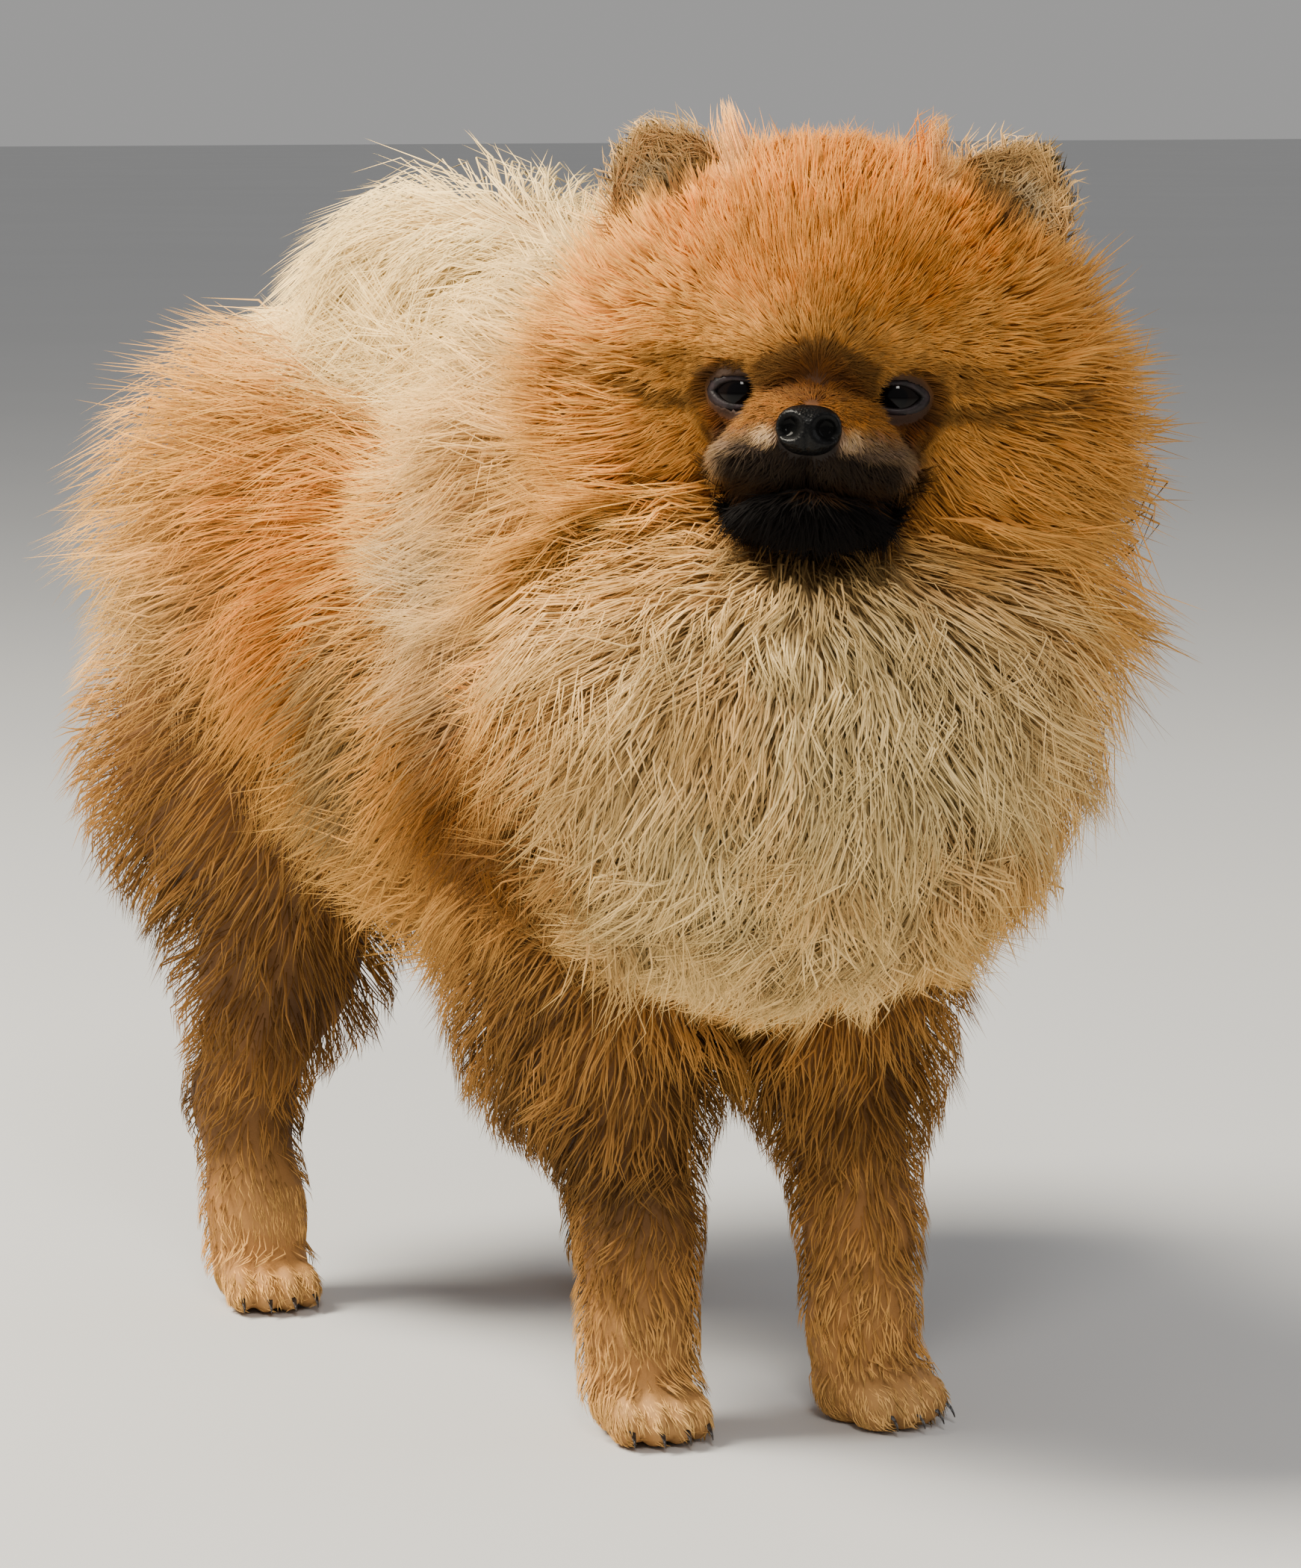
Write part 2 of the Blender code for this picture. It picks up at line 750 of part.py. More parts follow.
def box_of(piece):
    """The low and high corners of a piece"""
    points = np.array([point.co for point in piece.data.vertices])
    return points.min(0) - 2 * GAP, points.max(0) + 2 * GAP


def boxes_meet(one, other):
    """Whether two pieces' bounding boxes come near each other"""
    low, high = box_of(one)
    low_other, high_other = box_of(other)
    return bool((low < high_other).all() and (low_other < high).all())


def cores(work):
    """The core of every node, in the order in which the upper ones cut the lower"""
    made = {}
    for side in ("left", "right"):
        made["eye_" + side] = eye(work, side)
        made["ear_" + side] = ear(work, side)
    made["nose"] = nose(work)
    made["head"] = head_core(work)
    made["neck"] = neck_form(work, CORE_SHARE)
    made["tail"] = tail_form(work, CORE_SHARE)
    made["torso"] = torso_form(work, CORE_SHARE)
    for side, (x, y) in FRONT_PAWS.items():
        made["paw_front_" + side] = paw(work, "front_" + side, x, y)
    for side, (x, y) in HIND_PAWS.items():
        made["paw_hind_" + side] = paw(work, "hind_" + side, x, y)
    for side in ("left", "right"):
        made["leg_front_" + side] = front_leg_form(work, CORE_SHARE, side)
        made["leg_hind_" + side] = hind_leg_form(work, CORE_SHARE, side)
    return made


def outlines(work):
    """The full outline of every coated node, out to its tips"""
    forms = [head_form, neck_form, tail_form, torso_form]
    made = [form(work, 1.0) for form in forms]
    for side in ("left", "right"):
        made += [front_leg_form(work, 1.0, side), hind_leg_form(work, 1.0, side)]
    return made


def centred(nodes):
    """Move all nodes so that the middle of their box's bottom is the origin"""
    points = np.concatenate([[point.co for point in piece.data.vertices] for piece in nodes])
    middle = (points.min(0) + points.max(0)) / 2
    move = Vector((-middle[0], -middle[1], 0.0))
    for piece in nodes:
        piece.data.transform(Matrix.Translation(move))
    print("layout moved by", move.x, move.y)
    return move


def finish(nodes, parts, work):
    """Give each node its collection, material and smooth shading"""
    looks = {
        "rust": material("rust coat", "rust", 0.85),
        "gold": material("gold coat", "gold", 0.85),
        "cream": material("cream coat", "cream", 0.85),
        "dark": material("dark gloss", "dark", 0.15),
    }
    for name, piece in nodes.items():
        work.objects.unlink(piece)
        parts.objects.link(piece)
        piece.name = name
        piece.data.name = name
        kind = "rust"
        if name.startswith(("eye", "nose")):
            kind = "dark"
        elif name in ("neck", "tail"):
            kind = "cream"
        elif name in ("torso", "head"):
            kind = "gold"
        piece.data.materials.clear()
        piece.data.materials.append(looks[kind])
        piece.data.shade_smooth()
        piece.data.set_sharp_from_angle(angle=math.radians(50))
        print(name, len(piece.data.polygons), "triangles")


def main():
    """Build every node, cut each back from those above it, and colour them"""
    for piece in list(bpy.data.objects):
        bpy.data.objects.remove(piece)
    parts = bpy.data.collections.new(NAME)
    work = bpy.data.collections.new("cutters")
    for group in (parts, work):
        bpy.context.scene.collection.children.link(group)

    plain = cores(work)
    full = outlines(work)
    outline = tree_of(full)
    trees = {name: tree_of([piece]) for name, piece in plain.items()}
    draw = np.random.default_rng(SEED)
    above = []
    nodes = {}
    for name, core in plain.items():
        coat = coat_of(name)
        others = [tree for other, tree in trees.items() if other != name]
        rows = []
        if coat:
            rows = plan_locks(core, coat, outline, draw, lambda p: any(inside(t, p) for t in others))
        piece = dressed(core, rows, 0.0, work)
        near = [copied(other, work) for other in above if boxes_meet(other, piece)]
        nodes[name] = keep_largest(boolean(piece, near, "DIFFERENCE"))
        if name.startswith("ear"):
            above.append(ear_shell(work, name.split("_")[1], 2 * GAP))
        else:
            above.append(dressed(core, rows, GAP, work))
        print(name, len(rows), "locks")
    drop(above + full + list(plain.values()))
    finish(nodes, parts, work)
    return centred(list(nodes.values()))


MOVED = main()
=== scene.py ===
# %% [markdown]
# # A Pomeranian, life size
# The CAD frame gives the place and reach of every part of the dog. This lesson dresses it:
# one skin, eyes, nose and claws, and a coat of thousands of solid tufts that follow the lie
# of real fur. The frame is loaded first, because every number below is measured in it.

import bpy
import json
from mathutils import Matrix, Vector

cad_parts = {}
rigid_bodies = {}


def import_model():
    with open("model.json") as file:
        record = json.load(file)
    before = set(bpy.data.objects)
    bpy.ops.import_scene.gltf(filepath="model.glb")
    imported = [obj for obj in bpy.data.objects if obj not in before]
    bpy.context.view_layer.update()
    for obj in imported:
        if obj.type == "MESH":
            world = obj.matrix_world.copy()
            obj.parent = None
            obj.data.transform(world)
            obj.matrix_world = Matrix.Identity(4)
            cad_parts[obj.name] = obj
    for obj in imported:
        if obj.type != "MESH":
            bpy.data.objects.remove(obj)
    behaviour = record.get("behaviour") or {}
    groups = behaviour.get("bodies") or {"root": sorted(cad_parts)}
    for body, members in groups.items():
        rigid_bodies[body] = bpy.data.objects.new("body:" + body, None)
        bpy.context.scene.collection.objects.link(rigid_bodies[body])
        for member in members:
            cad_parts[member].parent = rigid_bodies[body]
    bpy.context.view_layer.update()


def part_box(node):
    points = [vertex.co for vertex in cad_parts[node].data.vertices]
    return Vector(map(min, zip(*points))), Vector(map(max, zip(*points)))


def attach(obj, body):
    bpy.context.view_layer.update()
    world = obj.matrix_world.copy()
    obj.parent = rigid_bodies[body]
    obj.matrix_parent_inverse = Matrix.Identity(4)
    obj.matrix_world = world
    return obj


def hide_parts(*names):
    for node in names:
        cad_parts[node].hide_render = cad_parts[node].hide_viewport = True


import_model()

# %% Modules and the seed
import json
import math

import bmesh
import bpy
import numpy as np
from mathutils import Matrix, Vector
from mathutils.kdtree import KDTree

SEED = 20
draw = np.random.default_rng(SEED)
print("seed", SEED)

# %% [markdown]
# ## Where the body stands
# A dog is easiest to describe part by part: paws on the floor, a head with its own axes.
# The head of this dog is turned to its right and rolled a little, so the face is laid out
# in the head's own frame: +X its left, +Y backwards, +Z up. The eyeball in the frame tells
# how far the whole layout was moved when the model was centred. The photograph shows the
# eyes a little lower and closer together than the frame has them, and the right one lower
# than the left. So the face has its own place for them, and the whole head a small nudge.

# %% Stance and the head's own axes
FRONT_PAWS = {"right": (-0.0315, 0.0), "left": (0.0308, -0.0169)}
HIND_PAWS = {"right": (-0.0531, 0.1926), "left": (0.0535, 0.159)}
TOES_TURN = {"front_right": -8.0, "front_left": 14.0, "hind_right": -12.0, "hind_left": 8.0}
PAW_WIDTH = 0.027
TOE_SPREAD = 1.47
SIDES = {"right": -1, "left": 1}
HEAD = (Matrix.Translation((0.001, -0.036, 0.298)) @ Matrix.Rotation(math.radians(-36), 4, "Z")
        @ Matrix.Rotation(math.radians(3), 4, "Y"))
HEAD_TURN = np.array(HEAD.to_3x3())
HEAD_AT = np.array(HEAD.translation)
FRAME_EYE = (0.0215, -0.0235, -0.0115)
EYE_AT = np.array((0.0200, -0.0235, -0.0123))
EYE_TILT = 0.0006
EYE_RADIUS = 0.0085
HEAD_NUDGE = (0.0018, 0, -0.0004)


def on_head(x, y, z):
    """A place on the head, from the head's own axes to the layout's"""
    return HEAD_TURN @ np.array((x, y, z)) + HEAD_AT


def in_head(points):
    """Points of the layout, seen in the head's own axes"""
    return (points - HEAD_AT) @ HEAD_TURN


def from_head(local):
    """Points given in the head's own axes, in the layout"""
    return local @ HEAD_TURN.T + HEAD_AT


eye_low, eye_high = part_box("eye_left")
SHIFT = np.array((eye_low + eye_high) / 2) - on_head(*FRAME_EYE)
SHIFT[2] = 0.0
HEAD = HEAD @ Matrix.Translation(HEAD_NUDGE)
HEAD_AT = np.array(HEAD.translation)


def eye_spot(out):
    """The middle of one eyeball in the head; the right eye of this dog sits a little lower"""
    return EYE_AT * (out, 1, 1) + (0, 0, EYE_TILT * out)


def face_patch(local, before, within, below):
    """Which places on the head lie before a y, within an x on both sides and below a z"""
    return (local[:, 1] < before) & (np.abs(local[:, 0]) < within) & (local[:, 2] < below)


def eye_distance(local):
    """How far places on the head are from the middle of the nearer eye"""
    return np.min([np.linalg.norm(local - eye_spot(out), axis=1) for out in SIDES.values()],
                  axis=0)


print("layout to frame", SHIFT.round(5))

# %% [markdown]
# ## The photograph's view
# The camera stands about 1.5 m away, a little above the dog's back, and looks slightly
# down. A long lens keeps the head and the rump in proportion. The floor is a plain pale
# sheet and the light is soft: a broad key from the upper left and behind, as the photo has,
# a weaker fill in front, and a pale world that opens the shadows inside the coat.

# %% Camera
def placed(name, data):
    """A new object in the scene"""
    made = bpy.data.objects.new(name, data)
    bpy.context.scene.collection.objects.link(made)
    return made


camera = placed("camera", bpy.data.cameras.new("camera"))
bpy.context.scene.camera = camera
heading = math.radians(30)
pitch = math.radians(7.57)
look = Vector((math.sin(heading) * math.cos(pitch), math.cos(heading) * math.cos(pitch),
               -math.sin(pitch)))
camera.location = (-0.72415, -1.30176, 0.363)
camera.rotation_euler = look.to_track_quat("-Z", "Y").to_euler()
camera.data.sensor_fit = "VERTICAL"
camera.data.sensor_height = 36
camera.data.lens = 120
print("camera", tuple(round(v, 3) for v in camera.location))


# %% Helpers for materials
def linear(red, green, blue):
    """A colour as a picture editor shows it, 0 to 255, in the linear light of shaders"""
    return tuple(((c / 255 + 0.055) / 1.055) ** 2.4 if c > 10 else c / 255 / 12.92
                 for c in (red, green, blue)) + (1.0,)


def plug(tree, socket, value):
    """Feed a socket with a number, a colour or another node's output"""
    if isinstance(value, bpy.types.NodeSocket):
        tree.links.new(value, socket)
    else:
        socket.default_value = value


def node(tree, kind, **values):
    """Add a node; keywords with a leading capital feed its inputs, the others set it up"""
    made = tree.nodes.new(kind)
    for key, value in values.items():
        if key[0].isupper():
            plug(tree, made.inputs[key.replace("_", " ")], value)
        else:
            setattr(made, key, value)
    return made


def mixed(tree, factor, below, above, blend="MIX"):
    """The colour between two colours"""
    made = node(tree, "ShaderNodeMix", data_type="RGBA", blend_type=blend)
    for slot, value in ((0, factor), (6, below), (7, above)):
        plug(tree, made.inputs[slot], value)
    return made.outputs[2]


def finish(name, **values):
    """A material with its shader's constants set, its node tree and its shader"""
    made = bpy.data.materials.new(name)
    made.use_nodes = True
    shader = made.node_tree.nodes["Principled BSDF"]
    for key, value in values.items():
        shader.inputs[key.replace("_", " ")].default_value = value
    return made, made.node_tree, shader


print("a middle grey is", round(linear(128, 128, 128)[0], 3), "in linear light")


# %% Light and floor
LIT_SPOT = Vector((0, -0.05, 0.2))
FLOOR_HALF = 30


def soft_light(name, place, size, power, colour):
    """A square soft box at place that faces the dog's shoulders"""
    lamp = placed(name, bpy.data.lights.new(name, "AREA"))
    lamp.data.size = size
    lamp.data.energy = power
    lamp.data.color = colour
    lamp.location = place
    lamp.rotation_euler = (LIT_SPOT - Vector(place)).to_track_quat("-Z", "Y").to_euler()


soft_light("key", (-1.2, 0.6, 1.9), 0.9, 135, (1.0, 0.92, 0.77))
soft_light("front", (-0.75, -1.5, 1.6), 0.4, 19, (1.0, 0.95, 0.88))
soft_light("side", (1.6, -0.4, 0.9), 1.2, 7, (0.96, 0.98, 1.0))

world = bpy.data.worlds.new("studio")
world.use_nodes = True
sky = world.node_tree.nodes["Background"].inputs
sky["Color"].default_value = (0.92, 0.91, 0.90, 1)
sky["Strength"].default_value = 0.40
bpy.context.scene.world = world

floor = placed("floor", bpy.data.meshes.new("floor"))
floor.data.from_pydata([(x * FLOOR_HALF, y * FLOOR_HALF, 0)
                        for x, y in ((-1, -1), (1, -1), (1, 1), (-1, 1))], [], [(0, 1, 2, 3)])
floor_paint, tree, shader = finish("studio_floor", Roughness=0.75)
grain = node(tree, "ShaderNodeTexNoise", Scale=90.0, Detail=5.0).outputs["Fac"]
plug(tree, shader.inputs["Base Color"],
     mixed(tree, grain, linear(196, 197, 198), linear(204, 205, 206)))
floor.data.materials.append(floor_paint)


# %% [markdown]
# ## The body as melted masses
# Muscle and fat round a skeleton off, so a body is well described by round masses that
# melt into each other. Sculpting would give the same surface by hand. Here each mass is a
# formula, its distance is known at any point in space, and neighbours are blended. Every
# mass also knows how deep its coat is along each axis, so one number, the share of the
# coat's depth, moves the surface from the flesh (0) out to the tips of the hair (1). The
# skin and every tuft use this same field, so the coat keeps the frame's outline.

# %% Masses
class Part:
    """One part of the body: round masses and bones that melt together"""

    def __init__(self, melt):
        self.melt = melt
        self.masses = []
        self.bones = []

    def mass(self, centre, flesh, coat=(0.0, 0.0, 0.0), turn=None):
        """An oval by its middle, its flesh radii and its coat's depths"""
        turn = np.identity(3) if turn is None else turn
        self.masses.append((np.array(centre), np.array(flesh), np.array(coat), turn))

    def string(self, points, flesh, coat):
        """Tapered bones from point to point"""
        points = [np.array(p) for p in points]
        self.bones += list(zip(points, points[1:], flesh, flesh[1:], coat, coat[1:]))

    def distance(self, points, share):
        """How far points are from the surface at a share of the coat's depth"""
        found = None
        for centre, flesh, coat, turn in self.masses:
            local = (points - centre) @ turn
            size = flesh + share[:, None] * coat
            near = np.sqrt(np.sum((local / size) ** 2, axis=1))
            slope = np.sqrt(np.sum((local / size ** 2) ** 2, axis=1))
            found = melted(found, near * (near - 1) / np.maximum(slope, 1e-6), self.melt)
        for start, end, flesh0, flesh1, coat0, coat1 in self.bones:
            way = end - start
            t = np.clip((points - start) @ way / (way @ way), 0, 1)
            radius = flesh0 + t * (flesh1 - flesh0) + share * (coat0 + t * (coat1 - coat0))
            off = points - start - t[:, None] * way
            found = melted(found, np.sqrt(np.sum(off ** 2, axis=1)) - radius, self.melt)
        return found


def melted(one, other, melt):
    """The smaller of two distances, rounded where they are alike"""
    if one is None:
        return other
    mix = np.clip(0.5 + 0.5 * (other - one) / melt, 0, 1)
    return other + (one - other) * mix - melt * mix * (1 - mix)


# %% Torso, neck and tail
torso = Part(0.020)
torso.mass((0, 0, 0.186), (0.046, 0.055, 0.048), (0.038, 0.040, 0.036))
torso.mass((0, 0.085, 0.190), (0.047, 0.080, 0.044), (0.042, 0.040, 0.050))
torso.mass((0, 0.178, 0.212), (0.047, 0.055, 0.046), (0.050, 0.050, 0.036))
torso.mass((-0.004, 0.206, 0.240), (0.036, 0.034, 0.030), (0.048, 0.040, 0.034))
neck = Part(0.020)
neck.mass((0.004, -0.028, 0.205), (0.036, 0.032, 0.036), (0.060, 0.038, 0.036))
neck.mass((0, 0.040, 0.250), (0.034, 0.036, 0.040), (0.048, 0.040, 0.042))
neck.mass(on_head(0, 0.034, -0.034), (0.034, 0.026, 0.038), (0.064, 0.026, 0.048), HEAD_TURN)
tail = Part(0.008)
TAIL_PATH = ((0.203, 0.238), (0.208, 0.268), (0.188, 0.292), (0.155, 0.298), (0.100, 0.294))
TAIL_DEPTH = 0.045
tail.string([(0, y, z) for y, z in TAIL_PATH], (0.010,) * len(TAIL_PATH),
            [TAIL_DEPTH * share for share in (0.2, 0.45, 0.8, 1.0, 0.9)])
print("torso, neck and tail:", len(torso.masses + neck.masses + tail.bones), "masses")

# %% Legs and paws
parts = {"torso": torso, "neck": neck, "tail": tail}
toes = []
for side, out in SIDES.items():
    x, y = FRONT_PAWS[side]
    leg = Part(0.012)
    leg.string([(x, y + 0.004, 0.018), (x - 0.001 * out, y + 0.006, 0.055),
                (x - 0.002 * out, y + 0.016, 0.100), (x - 0.002 * out, y + 0.016, 0.150)],
               (0.0112, 0.0118, 0.0130, 0.0190), (0.0020, 0.0024, 0.0150, 0.0150))
    leg.mass((x + 0.006 * out, y + 0.032, 0.125), (0.015, 0.016, 0.040), (0.018, 0.034, 0.016))
    parts["leg_front_" + side] = leg
    x, y = HIND_PAWS[side]
    leg = Part(0.012)
    leg.string([(x, y + 0.006, 0.018), (x, y + 0.014, 0.062), (x * 0.95, y - 0.006, 0.105),
                (x * 0.80, y - 0.012, 0.160)],
               (0.0112, 0.0118, 0.0125, 0.0270), (0.0020, 0.0027, 0.0215, 0.0210))
    leg.mass((0.052 * out, y + 0.018, 0.165), (0.022, 0.034, 0.044), (0.027, 0.030, 0.018))
    parts["leg_hind_" + side] = leg
for limb, spots in (("front", FRONT_PAWS), ("hind", HIND_PAWS)):
    for side, (x, y) in spots.items():
        angle = math.radians(TOES_TURN[limb + "_" + side])
        turn = np.array(Matrix.Rotation(angle, 3, "Z"))
        ground = np.array((x, y, 0))
        foot = Part(0.0022)
        foot.mass(ground + turn @ (0, 0.004, 0.0085), (0.0122, 0.0122, 0.0118))
        foot.mass(ground + turn @ (0, 0.006, 0.026), (0.0116, 0.0116, 0.017))
        for off in (-1.0, -1 / 3, 1 / 3, 1.0):
            root = ground + turn @ (off * PAW_WIDTH / 4 * TOE_SPREAD,
                                    -0.0095 - 0.0045 * (1 - abs(off)), 0.0066)
            foot.mass(root, (0.0041, 0.0083, 0.0064), turn=turn)
            toes.append((root, turn, off))
        parts["paw_" + limb + "_" + side] = foot
print("limbs:", len(parts) - 3, "with", len(toes), "toes")

# %% Head
head = Part(0.007)
for centre, flesh, coat in (
    ((0, 0, 0), (0.0358, 0.0392, 0.0304), (0, 0, 0)),
    ((0, 0.006, 0.006), (0.035, 0.032, 0.028), (0.034, 0.006, 0.020)),
    ((0, -0.036, -0.021), (0.0165, 0.0200, 0.0105), (0, 0, 0)),
    ((0, -0.036, -0.0395), (0.0182, 0.0155, 0.0080), (0, 0, 0)),
):
    head.mass(on_head(*centre), flesh, coat, HEAD_TURN)
for out in SIDES.values():
    head.mass(on_head(out * 0.026, 0.008, -0.020), (0.016, 0.018, 0.018),
              (0.036, 0.010, 0.024), HEAD_TURN)
    head.mass(on_head(out * 0.0105, -0.0425, -0.0270), (0.0110, 0.0112, 0.0066),
              turn=HEAD_TURN)
    head.mass(on_head(out * 0.0162, -0.0290, -0.0290), (0.0080, 0.0105, 0.0070),
              turn=HEAD_TURN)
    head.mass(on_head(*eye_spot(out)), (EYE_RADIUS + 0.0008,) * 3)
parts["head"] = head
NAMES = list(parts)
JOIN = 0.012


def body(points, share, names=None):
    """Distance to the whole body's surface, or some parts', at a share of the coat's depth"""
    share = np.broadcast_to(np.asarray(share, float), len(points))
    found = None
    for name in names or NAMES:
        found = melted(found, parts[name].distance(points, share), JOIN)
    return found


def slope(points, share, names=None, step=0.0008):
    """Distance and its gradient, by small steps along each axis"""
    here = body(points, share, names)
    gradient = np.empty_like(points)
    for axis in range(3):
        moved = points.copy()
        moved[:, axis] += step
        gradient[:, axis] = (body(moved, share, names) - here) / step
    return here, gradient


print("parts", ", ".join(NAMES))

# %% [markdown]
# ## One skin
# The solids of the frame meet face to face, with seams that a living animal doesn't have.
# One skin replaces them all. It could be joined by Booleans and smoothed, but a voxel
# remesh of rough ovals, moved on to the blended field afterwards, gives even quads with
# no seam. It lies inside the coat at SKIN_SHARE of its depth. The face and the paws are
# then cut finer, because that is where the coat is too short to hide anything.

# %% Rough skin from ovals
SKIN_SHARE = 0.40
VOXEL = 0.0032
BEAD_GAP = 0.006
ROUGH_EXTRA = 0.001


def object_of(name, verts, faces, shift=True):
    """A mesh object in the frame, from points of the layout"""
    mesh = bpy.data.meshes.new(name)
    verts = np.asarray(verts, float) + (SHIFT if shift else 0)
    mesh.from_pydata(verts.tolist(), [], faces if isinstance(faces, list) else faces.tolist())
    return placed(name, mesh)


def store(mesh, name, values):
    """One number on every point of a mesh"""
    layer = mesh.attributes.new(name, "FLOAT", "POINT")
    layer.data.foreach_set("value", np.asarray(values, np.float32))


rough = bmesh.new()
for part in parts.values():
    for centre, flesh, coat, turn in part.masses:
        size = flesh + SKIN_SHARE * coat + ROUGH_EXTRA
        at = Matrix.Translation(centre) @ Matrix(turn).to_4x4() @ Matrix.Diagonal((*size, 1))
        bmesh.ops.create_icosphere(rough, subdivisions=3, radius=1, matrix=at)
    for start, end, flesh0, flesh1, coat0, coat1 in part.bones:
        for t in np.linspace(0, 1, 2 + int(np.linalg.norm(end - start) / BEAD_GAP)):
            radius = flesh0 + t * (flesh1 - flesh0) + SKIN_SHARE * (coat0 + t * (coat1 - coat0))
            at = Matrix.Translation(start + t * (end - start))
            bmesh.ops.create_icosphere(rough, subdivisions=2, radius=radius + ROUGH_EXTRA,
                                       matrix=at)
skin_mesh = bpy.data.meshes.new("skin_rough")
rough.to_mesh(skin_mesh)
rough.free()
skin = placed("skin", skin_mesh)
remesh = skin.modifiers.new("even", "REMESH")
remesh.mode = "VOXEL"
remesh.voxel_size = VOXEL
graph = bpy.context.evaluated_depsgraph_get()
even = bpy.data.meshes.new_from_object(skin.evaluated_get(graph))
skin.modifiers.clear()


def read(items, key, width, kind=float):
    """One value of every item of a mesh, as rows of width numbers"""
    values = np.empty(len(items) * width, kind)
    items.foreach_get(key, values)
    return values.reshape(-1, width)


def settled(points, rounds):
    """Points moved on to the surface where the skin lies"""
    for _ in range(rounds):
        here, gradient = slope(points, SKIN_SHARE)
        points = points - gradient * (here / np.maximum((gradient ** 2).sum(1), 0.05))[:, None]
    return points


points = settled(read(even.vertices, "co", 3), 3)
faces = [tuple(face.vertices) for face in even.polygons]
print("rough skin", len(points), "points")


# %% Finer face and paws
def refined(points, faces, wanted, rounds):
    """Quads cut in four, where wanted says so of their middles"""
    shape = bmesh.new()
    corners = [shape.verts.new(p) for p in points]
    for face in faces:
        shape.faces.new([corners[i] for i in face])
    for _ in range(rounds):
        middles = np.array([face.calc_center_median() for face in shape.faces])
        chosen = wanted(middles)
        edges = {edge for face, keep in zip(shape.faces, chosen) if keep for edge in face.edges}
        ordered = [edge for edge in shape.edges if edge in edges]
        bmesh.ops.subdivide_edges(shape, edges=ordered, cuts=1, use_grid_fill=True)
    bmesh.ops.triangulate(shape, faces=shape.faces[:])
    shape.verts.index_update()
    found = np.array([v.co for v in shape.verts])
    listed = [tuple(v.index for v in face.verts) for face in shape.faces]
    shape.free()
    return found, listed


def face_or_paw(middles):
    """The front of the face and everything near the floor"""
    return face_patch(in_head(middles), -0.012, 0.036, 0.012) | (middles[:, 2] < 0.016)


def muzzle_or_lids(middles):
    """The parts of the face with the finest shapes"""
    local = in_head(middles)
    return (eye_distance(local) < 0.014) | face_patch(local, -0.034, 0.025, np.inf)


points, faces = refined(points, faces, face_or_paw, 1)
points, faces = refined(points, faces, muzzle_or_lids, 1)
points = settled(points, 2)
print("skin", len(points), "points", len(faces), "triangles")

# %% [markdown]
# ## Lids, lips and folds
# The face is modelled in the skin itself. Round each eye the skin falls back behind the
# eyeball inside an almond, where a separate rim of lid will close the gap. Below each eye
# lies a shallow fold, the brow stands a little over the eye, the lips part along a line
# that drops to the corners of the mouth, and a short groove runs from nose to lips. Each
# is a small move of the points by a formula of their place on the head.

# %% Sculpt the face
EYE_OUT = math.radians(3)
EYE_SLANT = math.radians(-1)
ALMOND = np.array((0.0068, 0.0035))
MOUTH_HALF = 0.0195


def bell(value, width):
    """1 where value is 0, falling softly to 0 on both sides"""
    return np.exp(-(value / width) ** 2)


def eye_axes(out):
    """The axes of one eye in the head: across, towards the viewer and up, as columns"""
    turn = Matrix.Rotation(EYE_OUT * out, 3, "Z") @ Matrix.Rotation(EYE_SLANT * out, 3, "Y")
    return np.array(turn) * (1, -1, 1)


def lip_line(x):
    """Where the lips meet, behind and below the nose, by the place across the mouth"""
    t = np.clip(np.abs(x) / MOUTH_HALF, 0, 1.3)
    return -0.0340 - 0.0062 * t ** 1.7


def sculpted(points):
    """The skin's points with the face's small forms"""
    local = in_head(points)
    x, y, z = local.T.copy()
    side = np.abs(x)
    front = np.clip((-0.010 - y) / 0.010, 0, 1)
    gap = z - lip_line(x)
    corner = np.clip((MOUTH_HALF + 0.004 - side) / 0.004, 0, 1)
    local[:, 1] += 0.0022 * (front * bell(gap, 0.0011) * corner * (y < -0.018))
    roll = front * bell(gap + 0.0030, 0.0016) * (side < MOUTH_HALF) * (y < -0.022)
    local[:, 1] -= 0.0008 * roll
    groove = bell(x, 0.0009) * ((z < -0.022) & (z > -0.035) & (y < -0.045))
    local[:, 1] += 0.0013 * groove
    fold = (bell(z + 0.0225 + 9.0 * (side - 0.0225) ** 2, 0.0013)
            * bell(side - 0.0225, 0.0080) * (y < -0.020))
    local[:, 1] += 0.0012 * fold
    brow = bell(z + 0.0005, 0.0040) * bell(side - 0.0190, 0.0090) * (y < -0.020)
    local[:, 1] -= 0.0012 * brow
    for out in SIDES.values():
        axes = eye_axes(out)
        centre = eye_spot(out)
        eye = (local - centre) @ axes
        across, ahead, up = eye.T
        ring = np.sqrt((across / ALMOND[0]) ** 2 + (up / ALMOND[1]) ** 2)
        hole = (ring < 1.22) & (ahead > 0)
        depth = np.sqrt(np.maximum(EYE_RADIUS ** 2 - across ** 2 - up ** 2, 0)) - 0.0016
        eye[hole, 1] = np.minimum(eye[hole, 1], depth[hole])
        local = eye @ axes.T + centre
    return from_head(local)


points = sculpted(points)
points[:, 2] = np.maximum(points[:, 2], 0.0002)
print("face shaped")


# %% [markdown]
# ## Ears
# A Pomeranian's ear is a small upright shell, round-tipped and cupped towards the front.
# A sphere with its front half pushed back into its rear half makes such a spoon, and its
# outline is narrowed towards the tip. Its foot is sunk in the head, where fur hides it.

# %% Ear shells
EAR_SIZE = np.array((0.0170, 0.0084, 0.0180))


def ear_axes(out):
    """The axes and the middle of one ear, leaning outward, in the layout"""
    lean = Matrix.Rotation(math.radians(28 * out), 4, "Y")
    at = HEAD @ Matrix.Translation((out * 0.0430, 0.0060, 0.0350)) @ lean
    return np.array(at.to_3x3()), np.array(at.translation)


